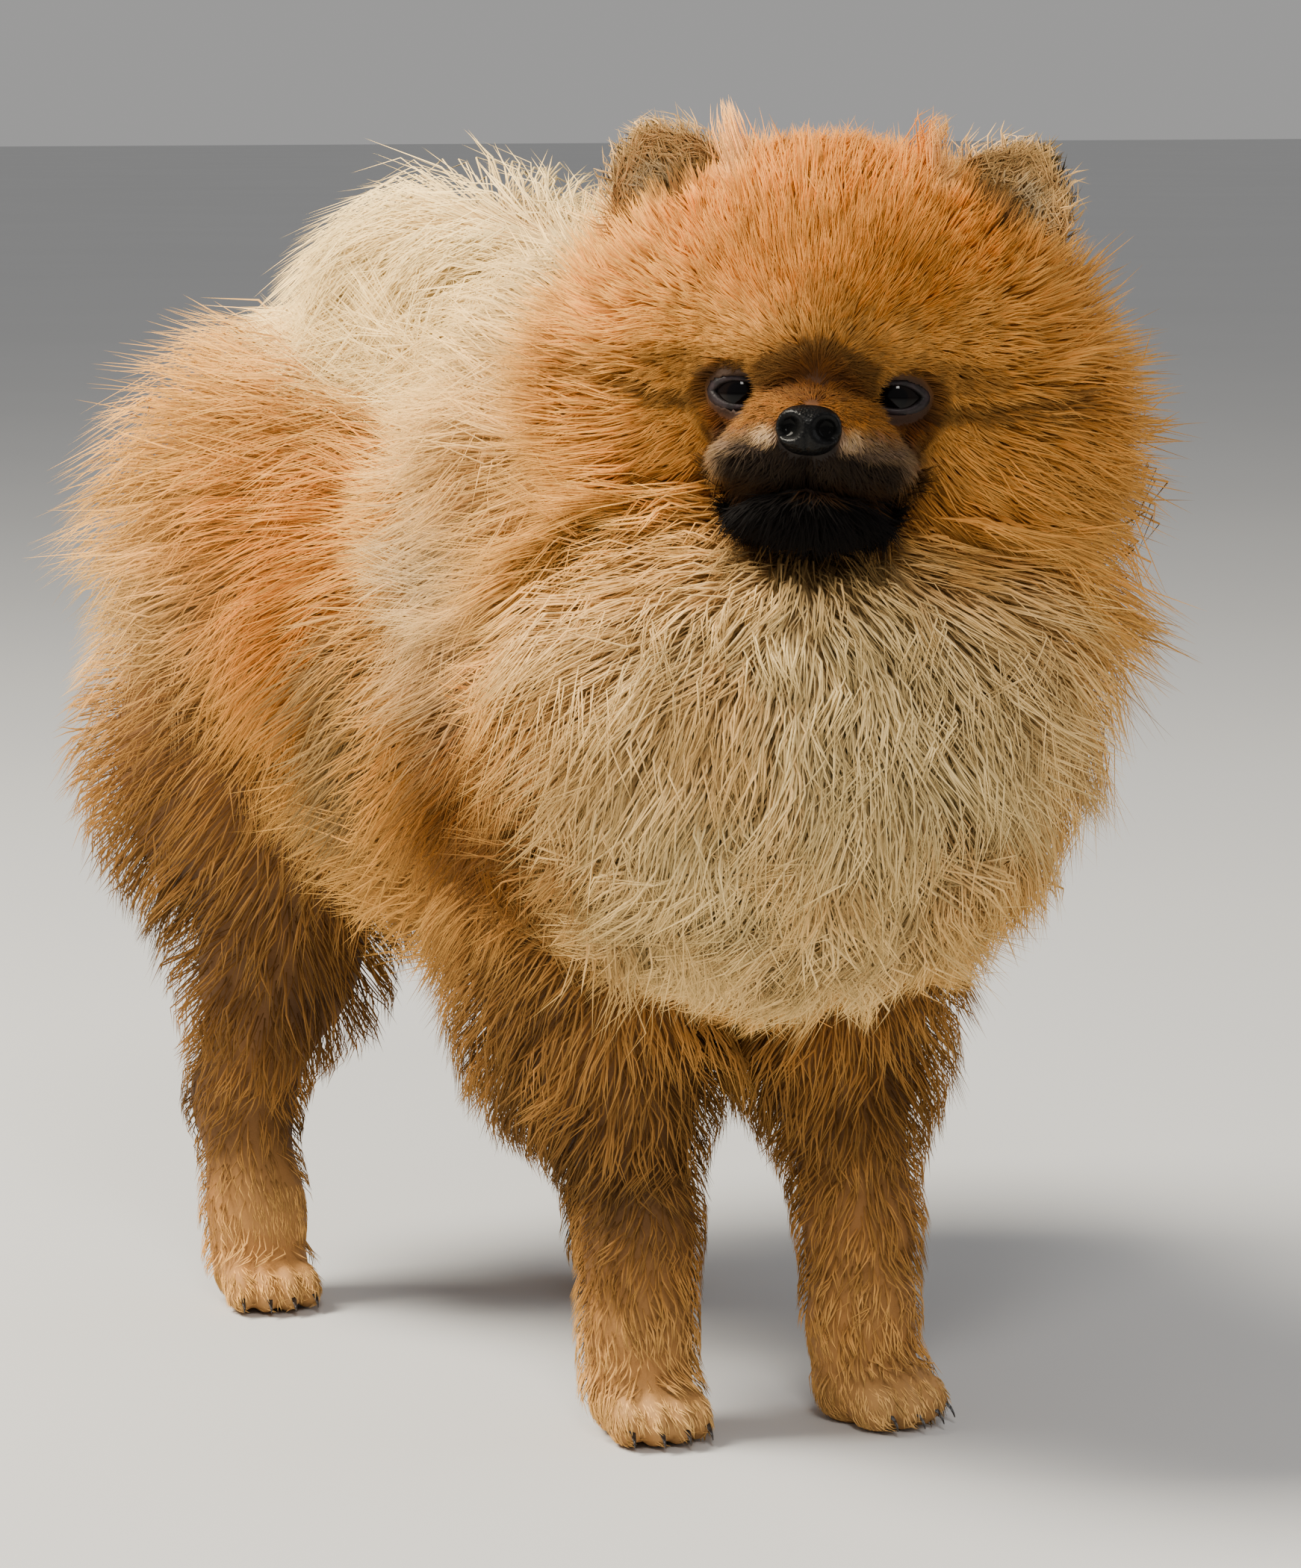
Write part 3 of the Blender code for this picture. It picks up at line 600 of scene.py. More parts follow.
def ball_grid(around, along):
    """Unit sphere as points and faces, with rings from the top to the bottom"""
    rows = [(0.0, 0.0, 1.0)]
    for i in range(1, along):
        v = math.pi * i / along
        rows += [(math.sin(v) * math.cos(u), math.sin(v) * math.sin(u), math.cos(v))
                 for u in np.linspace(0, 2 * math.pi, around, endpoint=False)]
    rows.append((0.0, 0.0, -1.0))
    last = len(rows) - 1
    faces = []
    for j in range(around):
        k = (j + 1) % around
        faces.append((0, 1 + j, 1 + k))
        faces.append((last, last - around + k, last - around + j))
        for i in range(along - 2):
            a = 1 + i * around
            faces.append((a + j, a + around + j, a + around + k, a + k))
    return np.array(rows), faces


def strips(rows, around):
    """Quads between rows of points that each run round"""
    return [(i + j, i + (j + 1) % around, i + around + (j + 1) % around, i + around + j)
            for i in range(0, (rows - 1) * around, around) for j in range(around)]


def ear_shell(out):
    """One ear as points of the layout"""
    ball, faces = ball_grid(36, 24)
    x, y, z = ball.T
    wide = 1 - 0.22 * np.clip(z, 0, 1) ** 2
    depth = np.where(y > 0, y, -y * 0.72 - 0.06 * (1 - np.abs(y)))
    depth = np.where(np.abs(y) < 1e-6, 0, depth)
    shell = np.stack([x * wide, depth, z], 1) * EAR_SIZE
    turn, at = ear_axes(out)
    return shell @ turn.T + at, faces


ear_start = len(points)
for out in SIDES.values():
    shell, shell_faces = ear_shell(out)
    faces += [tuple(i + len(points) for i in face) for face in shell_faces]
    points = np.vstack([points, shell])
print("ears add", len(points) - ear_start, "points")

# %% Skin object and its unwrap
bpy.data.objects.remove(skin)
skin = object_of("skin", points, faces)
skin.data.shade_smooth()
bpy.context.view_layer.objects.active = skin
skin.select_set(True)
skin.data.uv_layers.new(name="OFBake")
bpy.ops.object.mode_set(mode="EDIT")
bpy.ops.mesh.select_all(action="SELECT")
bpy.ops.mesh.quads_convert_to_tris()
bpy.ops.uv.smart_project(angle_limit=math.radians(66), island_margin=0.004)
bpy.ops.object.mode_set(mode="OBJECT")
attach(skin, "root")
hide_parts("head", "neck", "torso", "tail", "ear_left", "ear_right",
            *[kind + "_" + limb + "_" + side for kind in ("leg", "paw")
              for limb in ("front", "hind") for side in SIDES])
print("skin", len(skin.data.polygons), "triangles")


# %% [markdown]
# ## Eyes
# A dog's eye shows almost no white: a wide dark iris, a round pupil, and a clear cornea
# that stands a little proud. One ball does it here. Its front is swollen for the cornea,
# its colour is painted by the distance from its own axis, and a coat layer gives the wet
# gloss. Each eye keeps its own origin and axes, so that the same material serves both.

# %% Eyeballs
CORNEA_FROM = 0.74
CORNEA_SWELL = 0.00055


def eyeball(side, out):
    """One eye with its own axes: +Z looks out of the head"""
    ball, faces = ball_grid(56, 40)
    lean = np.clip((ball[:, 2] - CORNEA_FROM) / (1 - CORNEA_FROM), 0, 1)
    swell = CORNEA_SWELL * lean * lean * (3 - 2 * lean)
    made = object_of("eye_" + side + "_ball", ball * (EYE_RADIUS - 0.0001 + swell)[:, None],
                     faces, shift=False)
    made.data.shade_smooth()
    axes = HEAD_TURN @ eye_axes(out)
    turn = np.stack([axes[:, 0], axes[:, 2], axes[:, 1]], 1)
    turn[:, 0] *= np.sign(np.linalg.det(turn))
    at = Matrix.Translation(on_head(*eye_spot(out)) + SHIFT)
    made.matrix_world = at @ Matrix(turn).to_4x4()
    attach(made, "root")
    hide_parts("eye_" + side)
    return made


eyes = [eyeball(side, out) for side, out in SIDES.items()]
print("eyes", [o.name for o in eyes])


# %% [markdown]
# ## Lids
# The rim of the lids is the first thing one reads in a face, so it gets its own mesh: a
# ring that starts on the eyeball, rolls over a thick wet edge, and runs out under the fur.
# The almond has a sharper inner corner that drops towards the nose.

# %% Lid rims
def almond(t, out):
    """A point of the opening's outline, across and up, for an angle t"""
    c, s = np.cos(t), np.sin(t)
    across = ALMOND[0] * c
    up = ALMOND[1] * s * np.where(s > 0, 1.02, 0.90) * (1 - 0.40 * c ** 4)
    inner = np.clip(-c * out, 0, 1) ** 6
    return across * (1 + 0.14 * inner), up - 0.0009 * inner


LID_PROFILE = ((0.88, -0.0004), (0.95, 0.0001), (1.00, 0.0005), (1.06, 0.0007), (1.18, 0.0008),
               (1.34, 0.0008), (1.52, 0.0007), (1.72, 0.0004), (1.95, 0.0000), (2.20, -0.0008))
LID_STEPS = 72


def lids(out):
    """Points of one eye's lids, ring by ring"""
    t = np.linspace(0, 2 * math.pi, LID_STEPS, endpoint=False)
    across, up = almond(t, out)
    rings = []
    for grow, height in LID_PROFILE:
        a = across * grow if grow < 1.1 else across * (1 + (grow - 1) * 0.75)
        u = up * np.where(up > 0, 1 + (grow - 1) * 1.12, 1 + (grow - 1) * 0.92)
        held = np.minimum(1, 0.95 * EYE_RADIUS / np.hypot(a, u))
        a, u = a * held, u * held
        crease = 0.00035 * bell(grow - 1.45, 0.12)
        radius = EYE_RADIUS + height - crease
        ahead = np.sqrt(np.maximum(radius ** 2 - a ** 2 - u ** 2, 1e-7))
        rings.append(np.stack([a, ahead, u], 1))
    return from_head(np.vstack(rings) @ eye_axes(out).T + eye_spot(out))


ring_right, ring_left = (lids(out) for out in SIDES.values())
ring_faces = strips(len(LID_PROFILE), LID_STEPS)
rims = object_of("lid_rims", np.vstack([ring_right, ring_left]),
                 ring_faces + [tuple(i + len(ring_right) for i in f) for f in ring_faces])
store(rims.data, "ring", np.tile(np.repeat(np.linspace(0, 1, len(LID_PROFILE)), LID_STEPS), 2))
rims.data.shade_smooth()
thick = rims.modifiers.new("thick", "SOLIDIFY")
thick.thickness = 0.0004
thick.offset = -1
graph = bpy.context.evaluated_depsgraph_get()
rims.data = bpy.data.meshes.new_from_object(rims.evaluated_get(graph))
rims.modifiers.clear()
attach(rims, "root")
print("lids", len(rims.data.polygons), "faces")

# %% [markdown]
# ## Nose
# The nose pad is a rounded, slightly heart-shaped cushion with two comma nostrils and a
# groove down its middle. It starts as a ball, broad above and narrow below, and formulas
# push in the nostrils. Fine pebbles in the leather are left to bump.
# The wells of the nostrils are painted black, as the shade inside them.

# %% Nose pad
NOSE_SIZE = np.array((0.0084, 0.0056, 0.0064))
NOSE_AT = np.array((0, -0.0553, -0.0197))
NOSTRIL_APART, NOSTRIL_UP, NOSTRIL_SIZE = 0.0045, 0.0008, 0.0027
ball, nose_faces = ball_grid(96, 72)
nx, ny, nz = ball.T
narrow = 1 - 0.24 * np.clip(-nz, 0, 1) ** 1.3 - 0.10 * np.clip(nz, 0, 1) ** 2
square = 1 + 0.10 * (nx ** 2) * (nz ** 2) * 4
nostril_shade = np.zeros(len(ball))
pad = ball * NOSE_SIZE * np.stack([narrow * square, np.ones_like(nx), square], 1)
for out in SIDES.values():
    apart = (pad[:, 0] * out - NOSTRIL_APART) / NOSTRIL_SIZE
    height = (pad[:, 2] - NOSTRIL_UP) / NOSTRIL_SIZE
    well = np.exp(-(apart ** 2 + height ** 2) ** 1.5) * (ny < 0)
    nostril_shade = nostril_shade + np.exp(-(apart ** 2 + height ** 2) ** 2) * (ny < 0)
    wing = (np.exp(-(((pad[:, 0] * out - 0.0066) / 0.0020) ** 2
                     + ((pad[:, 2] + 0.0016) / 0.0008) ** 2)) * (ny < 0.2))
    rim = bell(np.sqrt(apart ** 2 + height ** 2) - 1.45, 0.35) * (ny < 0)
    pad[:, 1] += 0.0033 * well + 0.0010 * wing - 0.00035 * rim
split = bell(pad[:, 0], 0.0005) * (ny < 0) * np.clip((0.0030 - pad[:, 2]) / 0.003, 0, 1)
pad[:, 1] += 0.0007 * split
nose = object_of("nose_pad", from_head(pad + NOSE_AT), nose_faces)
nose.data.shade_smooth()
# Painted shade: how deep in a nostril each point lies, to paint the wells black.
store(nose.data, "well", np.clip(nostril_shade * 1.6, 0, 1))
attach(nose, "root")
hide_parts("nose")
print("nose", len(nose.data.polygons), "faces")


# %% [markdown]
# ## Claws
# Sixteen short dark claws curve forward and down out of the toes. Each is a tapered ring
# swept along an arc. They stand apart from the skin, as horn does.

# %% Claws
def claw(root, turn, off):
    """One claw as points and faces"""
    sides, steps, rings = 10, 7, []
    start = root + turn @ np.array((off * 0.0008, -0.0064, -0.0004))
    for i in range(steps):
        t = i / (steps - 1)
        bend = math.radians(28 + 46 * t)
        centre = np.array((off * 0.0006 * t, -0.0046 * math.sin(t * 1.25), -0.0040 * t ** 1.7))
        radius = 0.00125 * (1 - 0.86 * t ** 1.4)
        for a in np.linspace(0, 2 * math.pi, sides, endpoint=False):
            ring = np.array((math.cos(a) * 0.8, math.sin(a) * math.sin(bend),
                             math.sin(a) * math.cos(bend))) * radius
            rings.append(start + turn @ (centre + ring))
    caps = [tuple(range(sides))[::-1], tuple(range((steps - 1) * sides, steps * sides))]
    return rings, caps + strips(steps, sides)


claw_points, claw_faces = [], []
for root, turn, off in toes:
    rings, listed = claw(root, turn, off)
    claw_faces += [tuple(i + len(claw_points) for i in face) for face in listed]
    claw_points += rings
claw_points = np.array(claw_points)
claw_points[:, 2] = np.maximum(claw_points[:, 2], 0.0004)
claws = object_of("claws", claw_points, claw_faces)
claws.data.shade_smooth()
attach(claws, "root")
print("claws", len(toes))

# %% [markdown]
# ## Markings and painted shade
# This dog is an orange sable: rust on the crown and flanks, gold on the cheeks, cream on
# the chest and the tail, silver on the side of the ruff, and a black mask round the mouth.
# One could paint these as soft masks. Here each mask is made of soft ovals with a ragged
# edge, computed by place alone, and stored on the points as four numbers: rust, cream,
# grey and dark. Besides black hair, dark also holds painted shade: on the legs, the thighs
# and under the belly, under the brow and in the creases round the eyes, while the front
# left leg is spared some of it as painted light. An oval named clear takes dark away again,
# and golden patches break up the cream. Skin and tufts ask the same function, so they
# always agree.


# %% Soft spots
BLEND = 0.006


def smooth(low, high, value):
    """0 below low, 1 above high, and a soft step between them"""
    t = np.clip((value - low) / (high - low), 0, 1)
    return t * t * (3 - 2 * t)


def ragged(points, size, seed):
    """A soft noise between -1 and 1, from a few crossed waves"""
    value = np.zeros(len(points))
    phase = np.random.default_rng(seed)
    for i in range(6):
        way = phase.normal(size=3)
        way *= (1 + 0.5 * i) / size / np.linalg.norm(way)
        value += np.sin(points @ way + phase.uniform(0, 6.283)) / (1 + 0.5 * i)
    return value / 2.6


def spot(points, centre, radii, edge, rough):
    """1 inside an oval and 0 outside, with a soft and ragged edge"""
    far = np.sqrt((((points - centre) / np.array(radii)) ** 2).sum(1)) + 0.22 * rough
    return 1 - smooth(1 - edge, 1 + edge, far)


def nearness(points):
    """How much each point belongs to each part of the body, adding up to 1"""
    share = np.full(len(points), SKIN_SHARE)
    far = np.stack([parts[name].distance(points, share) for name in NAMES])
    weight = np.exp(-(far - far.min(0)) / BLEND)
    return dict(zip(NAMES, weight / weight.sum(0)))


print("half way from 1 to 3 is", smooth(1, 3, 2.0))

# %% Where the spots lie
MASKS = ("rust", "cream", "grey", "dark")
BODY_SPOTS = (
    ("cream", (-0.018, -0.085, 0.200), (0.064, 0.060, 0.052), 0.92),
    ("cream", (-0.020, -0.060, 0.160), (0.042, 0.050, 0.028), 0.65),
    ("cream", (0.000, 0.060, 0.290), (0.070, 0.080, 0.040), 0.75),
    # Painted shade under the belly, between the legs.
    ("dark", (0.000, 0.150, 0.130), (0.034, 0.060, 0.045), 0.55),
)
FLANK_SPOTS = (
    ("cream", (0.080, 0.028, 0.238), (0.036, 0.034, 0.042), (0.72, 0.62)),
    ("grey", (0.080, 0.028, 0.238), (0.034, 0.032, 0.038), (0.62, 0.42)),
    ("cream", (0.080, 0.085, 0.190), (0.030, 0.015, 0.044), (0.42, 0.35)),
    ("rust", (0.075, 0.118, 0.245), (0.050, 0.050, 0.050), (0.55, 0.50)),
    ("rust", (0.075, 0.010, 0.185), (0.034, 0.044, 0.036), (0.66, 0.60)),
    ("dark", (0.075, 0.012, 0.180), (0.034, 0.044, 0.034), (0.76, 0.68)),
    ("dark", (0.080, 0.085, 0.190), (0.030, 0.022, 0.048), (0.62, 0.56)),
    # Painted shade on the hind thighs, which lie under the body.
    ("dark", (0.080, 0.180, 0.145), (0.046, 0.052, 0.050), (0.56, 0.56)),
    ("cream", (0.090, 0.210, 0.215), (0.060, 0.050, 0.040), (0.35, 0.35)),
)
BODY_SPOTS += tuple((name, (out * x, y, z), radii, amount)
                    for name, (x, y, z), radii, amounts in FLANK_SPOTS
                    for out, amount in zip(SIDES.values(), amounts))
FACE_SPOTS = (
    ("dark", (0.0000, -0.038, -0.0425), (0.0225, 0.032, 0.0110), 1.00),
    ("dark", (0.0000, -0.036, -0.0480), (0.0185, 0.022, 0.0070), 0.97),
    ("grey", (0.0000, -0.048, -0.0245), (0.0270, 0.040, 0.0065), 0.75),
    ("dark", (0.0000, -0.047, -0.0300), (0.0280, 0.046, 0.0104), 0.97),
    ("dark", (0.0000, -0.047, -0.0225), (0.0310, 0.046, 0.0080), 0.72),
    ("dark", (0.0000, -0.036, -0.0085), (0.0118, 0.026, 0.0085), 0.84),
    ("dark", (0.0000, -0.034, 0.0010), (0.0110, 0.028, 0.0130), 0.46),
    ("dark", (0.0000, -0.029, -0.0525), (0.0175, 0.022, 0.0050), 0.80),
    ("rust", (0.0000, -0.012, 0.0250), (0.0420, 0.045, 0.0270), 0.80),
    # Painted shade of the brow over the eyes.
    ("dark", (0.0000, -0.030, 0.0100), (0.0300, 0.030, 0.0160), 0.26),
    ("rust", (0.0000, -0.044, -0.0140), (0.0160, 0.024, 0.0090), 0.62),
    ("dark", (0.0000, -0.044, -0.0120), (0.0180, 0.026, 0.0105), 0.70),
    ("dark", (0.0000, -0.0530, -0.0197), (0.0080, 0.008, 0.0060), 1.00),
)
PAIRED_SPOTS = (
    ("dark", (0.0205, -0.032, -0.0125), (0.0120, 0.016, 0.0090), 0.93),
    # Painted shade under the brow, above each eye.
    ("dark", (0.0290, -0.026, -0.0050), (0.0200, 0.022, 0.0042), 0.46),
    ("dark", (0.0175, -0.036, -0.0395), (0.0085, 0.018, 0.0055), 1.00),
    # Painted shade in the fold below each eye.
    ("dark", (0.0225, -0.033, -0.0210), (0.0115, 0.014, 0.0048), 0.80),
    # Painted shade in the crease from the outer corner of each eye.
    ("dark", (0.0390, -0.022, -0.0125), (0.0180, 0.030, 0.0028), 0.66),
    ("dark", (0.0130, -0.038, -0.0060), (0.0080, 0.014, 0.0070), 0.52),
    ("rust", (0.0200, -0.036, -0.0200), (0.0120, 0.018, 0.0080), 0.80),
    ("cream", (0.0098, -0.054, -0.0198), (0.0018, 0.008, 0.0024), 0.36),
    ("clear", (0.0098, -0.054, -0.0198), (0.0022, 0.008, 0.0028), 0.52),
    ("cream", (0.0225, -0.002, 0.0330), (0.0050, 0.010, 0.0070), 0.30),
    ("cream", (0.0470, 0.006, 0.0430), (0.0190, 0.022, 0.0180), 0.55),
    ("cream", (0.0460, 0.005, 0.0350), (0.0078, 0.016, 0.0078), 0.92),
    ("grey", (0.0460, 0.005, 0.0345), (0.0070, 0.016, 0.0070), 0.55),
    ("dark", (0.0368, 0.005, 0.0310), (0.0066, 0.016, 0.0090), 0.74),
)
print("spots", len(BODY_SPOTS), "on the body,", len(FACE_SPOTS + PAIRED_SPOTS), "on the face")


# %% Markings of skin and tufts
def markings(points):
    """The four masks of the coat at points of the layout"""
    masks = {name: np.zeros(len(points)) for name in MASKS}
    part = nearness(points)
    height = points[:, 2]
    legs = sum(part[name] for name in NAMES if name.startswith("leg"))
    paws = sum(part[name] for name in NAMES if name.startswith("paw"))
    masks["cream"] += 0.96 * part["tail"]
    masks["cream"] += 0.08 * legs + 0.34 * paws
    masks["rust"] += 0.22 * legs + 0.05 * paws + 0.36 * part["head"]
    # Painted shade: the legs are darkened from just above the paws up to the body, partly for
    # darker brown hair and partly as the shade under the body. The front left leg keeps less of
    # it, as painted light where the lamp falls on it.
    shade = smooth(0.175, 0.130, height) * smooth(0.016, 0.050, height)
    shade *= 1 - 0.30 * smooth(0.0, 0.015, points[:, 0]) * (points[:, 1] < 0.06)
    masks["dark"] += 0.76 * legs * shade * (0.85 + 0.35 * ragged(points, 0.010, 6))
    wide, fine = ragged(points, 0.020, 3), ragged(points, 0.006, 4)
    rough = 0.7 * wide + 0.3 * fine
    on_body = 1 - smooth(0.15, 0.75, part["head"])
    for name, centre, radii, amount in BODY_SPOTS:
        cover = spot(points, centre, radii, 0.45, rough) * (1 - 0.8 * legs * (height < 0.13))
        masks[name] = np.maximum(masks[name], amount * cover * on_body)
    golden = smooth(0.0, 0.7, ragged(points, 0.011, 9)) * smooth(0.265, 0.240, height)
    masks["cream"] *= 1 - 0.50 * golden * on_body * (1 - part["tail"])
    masks["rust"] *= 1 - 0.8 * np.clip(masks["cream"], 0, 1) * on_body
    local = in_head(points)
    mirrored = np.stack([np.abs(local[:, 0]), local[:, 1], local[:, 2]], 1)
    near = smooth(0.10, 0.07, np.linalg.norm(local, axis=1))
    tight = 0.5 * fine
    for where, spots, edge in ((local, FACE_SPOTS, 0.30), (mirrored, PAIRED_SPOTS, 0.35)):
        for name, centre, radii, amount in spots:
            cover = amount * near * spot(where, centre, radii, edge, tight)
            if name == "clear":
                masks["dark"] *= 1 - cover
            else:
                masks[name] = np.maximum(masks[name], cover)
    return {name: np.clip(value, 0, 1) for name, value in masks.items()}


skin_points = points
for name, values in markings(skin_points).items():
    store(skin.data, name, values)
    print(name, "covers", round(float(values.mean()), 2))
store(skin.data, "across", np.zeros(len(skin_points)))
store(skin.data, "along", np.full(len(skin_points), 0.12))
store(skin.data, "tint", np.full(len(skin_points), 0.5))


# %% [markdown]
# ## Coat colour
# One group mixes the colours of the coat for the skin and for every tuft. It takes the
# masks, how far along the hair a point is, and a number that differs from tuft to tuft.
# Hair is darker at its root, and pale at the tip.

# %% Coat colour group
def attribute(tree, name):
    """The number that a mesh stores under name"""
    return node(tree, "ShaderNodeAttribute", attribute_name=name).outputs["Fac"]


GOLD, RUST = linear(222, 158, 78), linear(214, 113, 10)
CREAM, GREY = linear(251, 221, 156), linear(180, 160, 138)
ROOT, TIP, BLACK_AND_SHADE = linear(128, 80, 42), linear(255, 205, 112), linear(13, 10, 9)
TUFT_NUMBERS = ("along", "across", "tint")


def coat_colour_group():
    """Masks, along, across and tint in; colour out"""
    group = bpy.data.node_groups.new("coat colour", "ShaderNodeTree")
    for name in MASKS + TUFT_NUMBERS:
        group.interface.new_socket(name.capitalize(), in_out="INPUT",
                                   socket_type="NodeSocketFloat")
    group.interface.new_socket("Colour", in_out="OUTPUT", socket_type="NodeSocketColor")
    source = group.nodes.new("NodeGroupInput").outputs

    def ramp(value, low, high, top):
        return node(group, "ShaderNodeMapRange", interpolation_type="SMOOTHSTEP", Value=value,
                    From_Min=low, From_Max=high, To_Max=top).outputs["Result"]

    def maths(operation, *values):
        made = node(group, "ShaderNodeMath", operation=operation)
        for socket, value in zip(made.inputs, values):
            plug(group, socket, value)
        return made.outputs["Value"]

    base = mixed(group, source["Rust"], GOLD, RUST)
    base = mixed(group, source["Cream"], base, CREAM)
    base = mixed(group, source["Grey"], base, GREY)
    root = mixed(group, 0.62, base, ROOT)
    hair = mixed(group, ramp(source["Along"], 0.0, 0.60, 1.0), root, base)
    hair = mixed(group, ramp(source["Along"], 0.5, 1.0, 0.32), hair, TIP)
    turns = maths("MULTIPLY_ADD", source["Tint"], 9.0, source["Across"])
    stripes = maths("SINE", maths("MULTIPLY", turns, 7.0))
    shade = node(group, "ShaderNodeMapRange", Value=source["Tint"], To_Min=0.46, To_Max=1.30)
    light = maths("MULTIPLY_ADD", stripes, 0.06, shade.outputs["Result"])
    lit = node(group, "ShaderNodeVectorMath", operation="SCALE")
    plug(group, lit.inputs[0], hair)
    plug(group, lit.inputs["Scale"], light)
    sink = group.nodes.new("NodeGroupOutput")
    # Dark mixes in black: the black hair of the face, and painted shade elsewhere.
    plug(group, sink.inputs["Colour"], mixed(group, source["Dark"], lit.outputs["Vector"], BLACK_AND_SHADE))
    return group


coat_colour = coat_colour_group()
print("group", coat_colour.name, "with", len(coat_colour.nodes), "nodes")


# %% Coat and skin materials
def bumped(tree, shader, height, strength, distance):
    """Let a height raise and sink the look of a surface"""
    bump = node(tree, "ShaderNodeBump", Strength=strength, Distance=distance, Height=height)
    plug(tree, shader.inputs["Normal"], bump.outputs["Normal"])


def coat_material(name, roughness, specular, fineness):
    """A material that shows the coat's colours"""
    made, tree, shader = finish(name, Roughness=roughness, Specular_IOR_Level=specular)
    colours = node(tree, "ShaderNodeGroup", node_tree=coat_colour)
    for number in MASKS + TUFT_NUMBERS:
        plug(tree, colours.inputs[number.capitalize()], attribute(tree, number))
    plug(tree, shader.inputs["Base Color"], colours.outputs["Colour"])
    where = tree.nodes.new("ShaderNodeTexCoord").outputs["Object"]
    fibre = node(tree, "ShaderNodeTexNoise", Vector=where, Scale=fineness, Detail=3.0)
    bumped(tree, shader, fibre.outputs["Fac"], 0.5, 0.0004)
    return made


fur = coat_material("fur", 0.75, 0.06, 1400.0)
down = coat_material("skin_and_down", 0.70, 0.25, 900.0)
skin.data.materials.append(down)
print("materials", fur.name, down.name)

# %% [markdown]
# ## Eye, lid, nose and claw finishes
# These are the only wet or hard surfaces on the dog. The eye is painted by the distance
# from its axis, the lids are bare grey-purple skin with a painted highlight on the wet edge
# and painted shade where they meet the eye and the fur, the nose is black pebbled leather
# with painted shade in its nostrils, and the claws are dark horn that wanders between two
# tones.


# %% Eye finish
def ramped(tree, factor, stops):
    """A colour by a number, from stops of place and colour"""
    ramp = node(tree, "ShaderNodeValToRGB", Fac=factor)
    ends = ramp.color_ramp.elements
    ends[0].position, ends[0].color = stops[0]
    ends[1].position, ends[1].color = stops[-1]
    for place, colour in stops[1:-1]:
        ramp.color_ramp.elements.new(place).color = colour
    return ramp.outputs["Color"]


eye_wet, tree, shader = finish("eye_wet", Roughness=0.30, Coat_Weight=0.42, Coat_Roughness=0.02,
                               Coat_IOR=1.38, Specular_IOR_Level=0.0)
where = tree.nodes.new("ShaderNodeTexCoord").outputs["Object"]
flat = node(tree, "ShaderNodeVectorMath", operation="MULTIPLY")
plug(tree, flat.inputs[0], where)
plug(tree, flat.inputs[1], (1, 1, 0))
radius = node(tree, "ShaderNodeVectorMath", operation="LENGTH")
plug(tree, radius.inputs[0], flat.outputs["Vector"])
scaled = node(tree, "ShaderNodeMath", operation="MULTIPLY")
plug(tree, scaled.inputs[0], radius.outputs["Value"])
plug(tree, scaled.inputs[1], 1 / EYE_RADIUS)
plug(tree, shader.inputs["Base Color"], ramped(tree, scaled.outputs["Value"], (
    (0.30, linear(4, 3, 4)), (0.37, linear(15, 9, 7)), (0.68, linear(12, 7, 6)),
    (0.76, linear(5, 4, 4)), (0.90, linear(34, 27, 26)))))
for eye in eyes:
    eye.data.materials.append(eye_wet)
print("finish", eye_wet.name)


# %% Lid finish
def wandering(tree, scale, low, high):
    """A colour that wanders between two tones, and the place it is read at"""
    where = tree.nodes.new("ShaderNodeTexCoord").outputs["Object"]
    noise = node(tree, "ShaderNodeTexNoise", Vector=where, Scale=scale, Detail=4.0)
    return ramped(tree, noise.outputs["Fac"], ((0.35, low), (0.68, high))), where


# Brightness across the lid rim, from the eyeball outward: painted shade where it meets the
# eyeball, a painted highlight on the wet edge, and painted shade where it runs under the fur.
LID_HIGHLIGHT_AND_SHADE = ((0.0, (0.10, 0.10, 0.10, 1)), (0.20, (0.24, 0.24, 0.24, 1)),
             (0.32, (0.60, 0.60, 0.60, 1)), (0.46, (0.56, 0.56, 0.56, 1)),
             (0.62, (0.44, 0.44, 0.44, 1)), (1.0, (0.16, 0.13, 0.13, 1)))
lid_skin, tree, shader = finish("lid_skin", Roughness=0.55, Coat_Weight=0.06,
                                Coat_Roughness=0.2, Specular_IOR_Level=0.25)
tone, where = wandering(tree, 400.0, linear(28, 20, 22), linear(64, 50, 54))
# The lid's tone times its painted highlight and shade across the rim.
rim = ramped(tree, attribute(tree, "ring"), LID_HIGHLIGHT_AND_SHADE)
plug(tree, shader.inputs["Base Color"], mixed(tree, 1.0, tone, rim, "MULTIPLY"))
creases = node(tree, "ShaderNodeTexNoise", Vector=where, Scale=1500.0, Detail=4.0)
bumped(tree, shader, creases.outputs["Fac"], 0.45, 0.0003)
rims.data.materials.append(lid_skin)
print("finish", lid_skin.name)

# %% Nose and claw finishes
nose_leather, tree, shader = finish("nose_leather", Roughness=0.34, Coat_Weight=0.10,
                                    Coat_Roughness=0.10, Specular_IOR_Level=0.10)
tone, where = wandering(tree, 500.0, linear(2, 2, 2), linear(9, 9, 10))
# Painted shade: the nostril wells are painted black and made rougher.
well = attribute(tree, "well")
plug(tree, shader.inputs["Base Color"], mixed(tree, well, tone, linear(1, 1, 1)))
dull = node(tree, "ShaderNodeMapRange", Value=well, To_Min=0.40, To_Max=1.0)
plug(tree, shader.inputs["Roughness"], dull.outputs["Result"])
pebbles = node(tree, "ShaderNodeTexVoronoi", Vector=where, Scale=1500.0)
bumped(tree, shader, pebbles.outputs["Distance"], 0.55, 0.0003)
nose.data.materials.append(nose_leather)

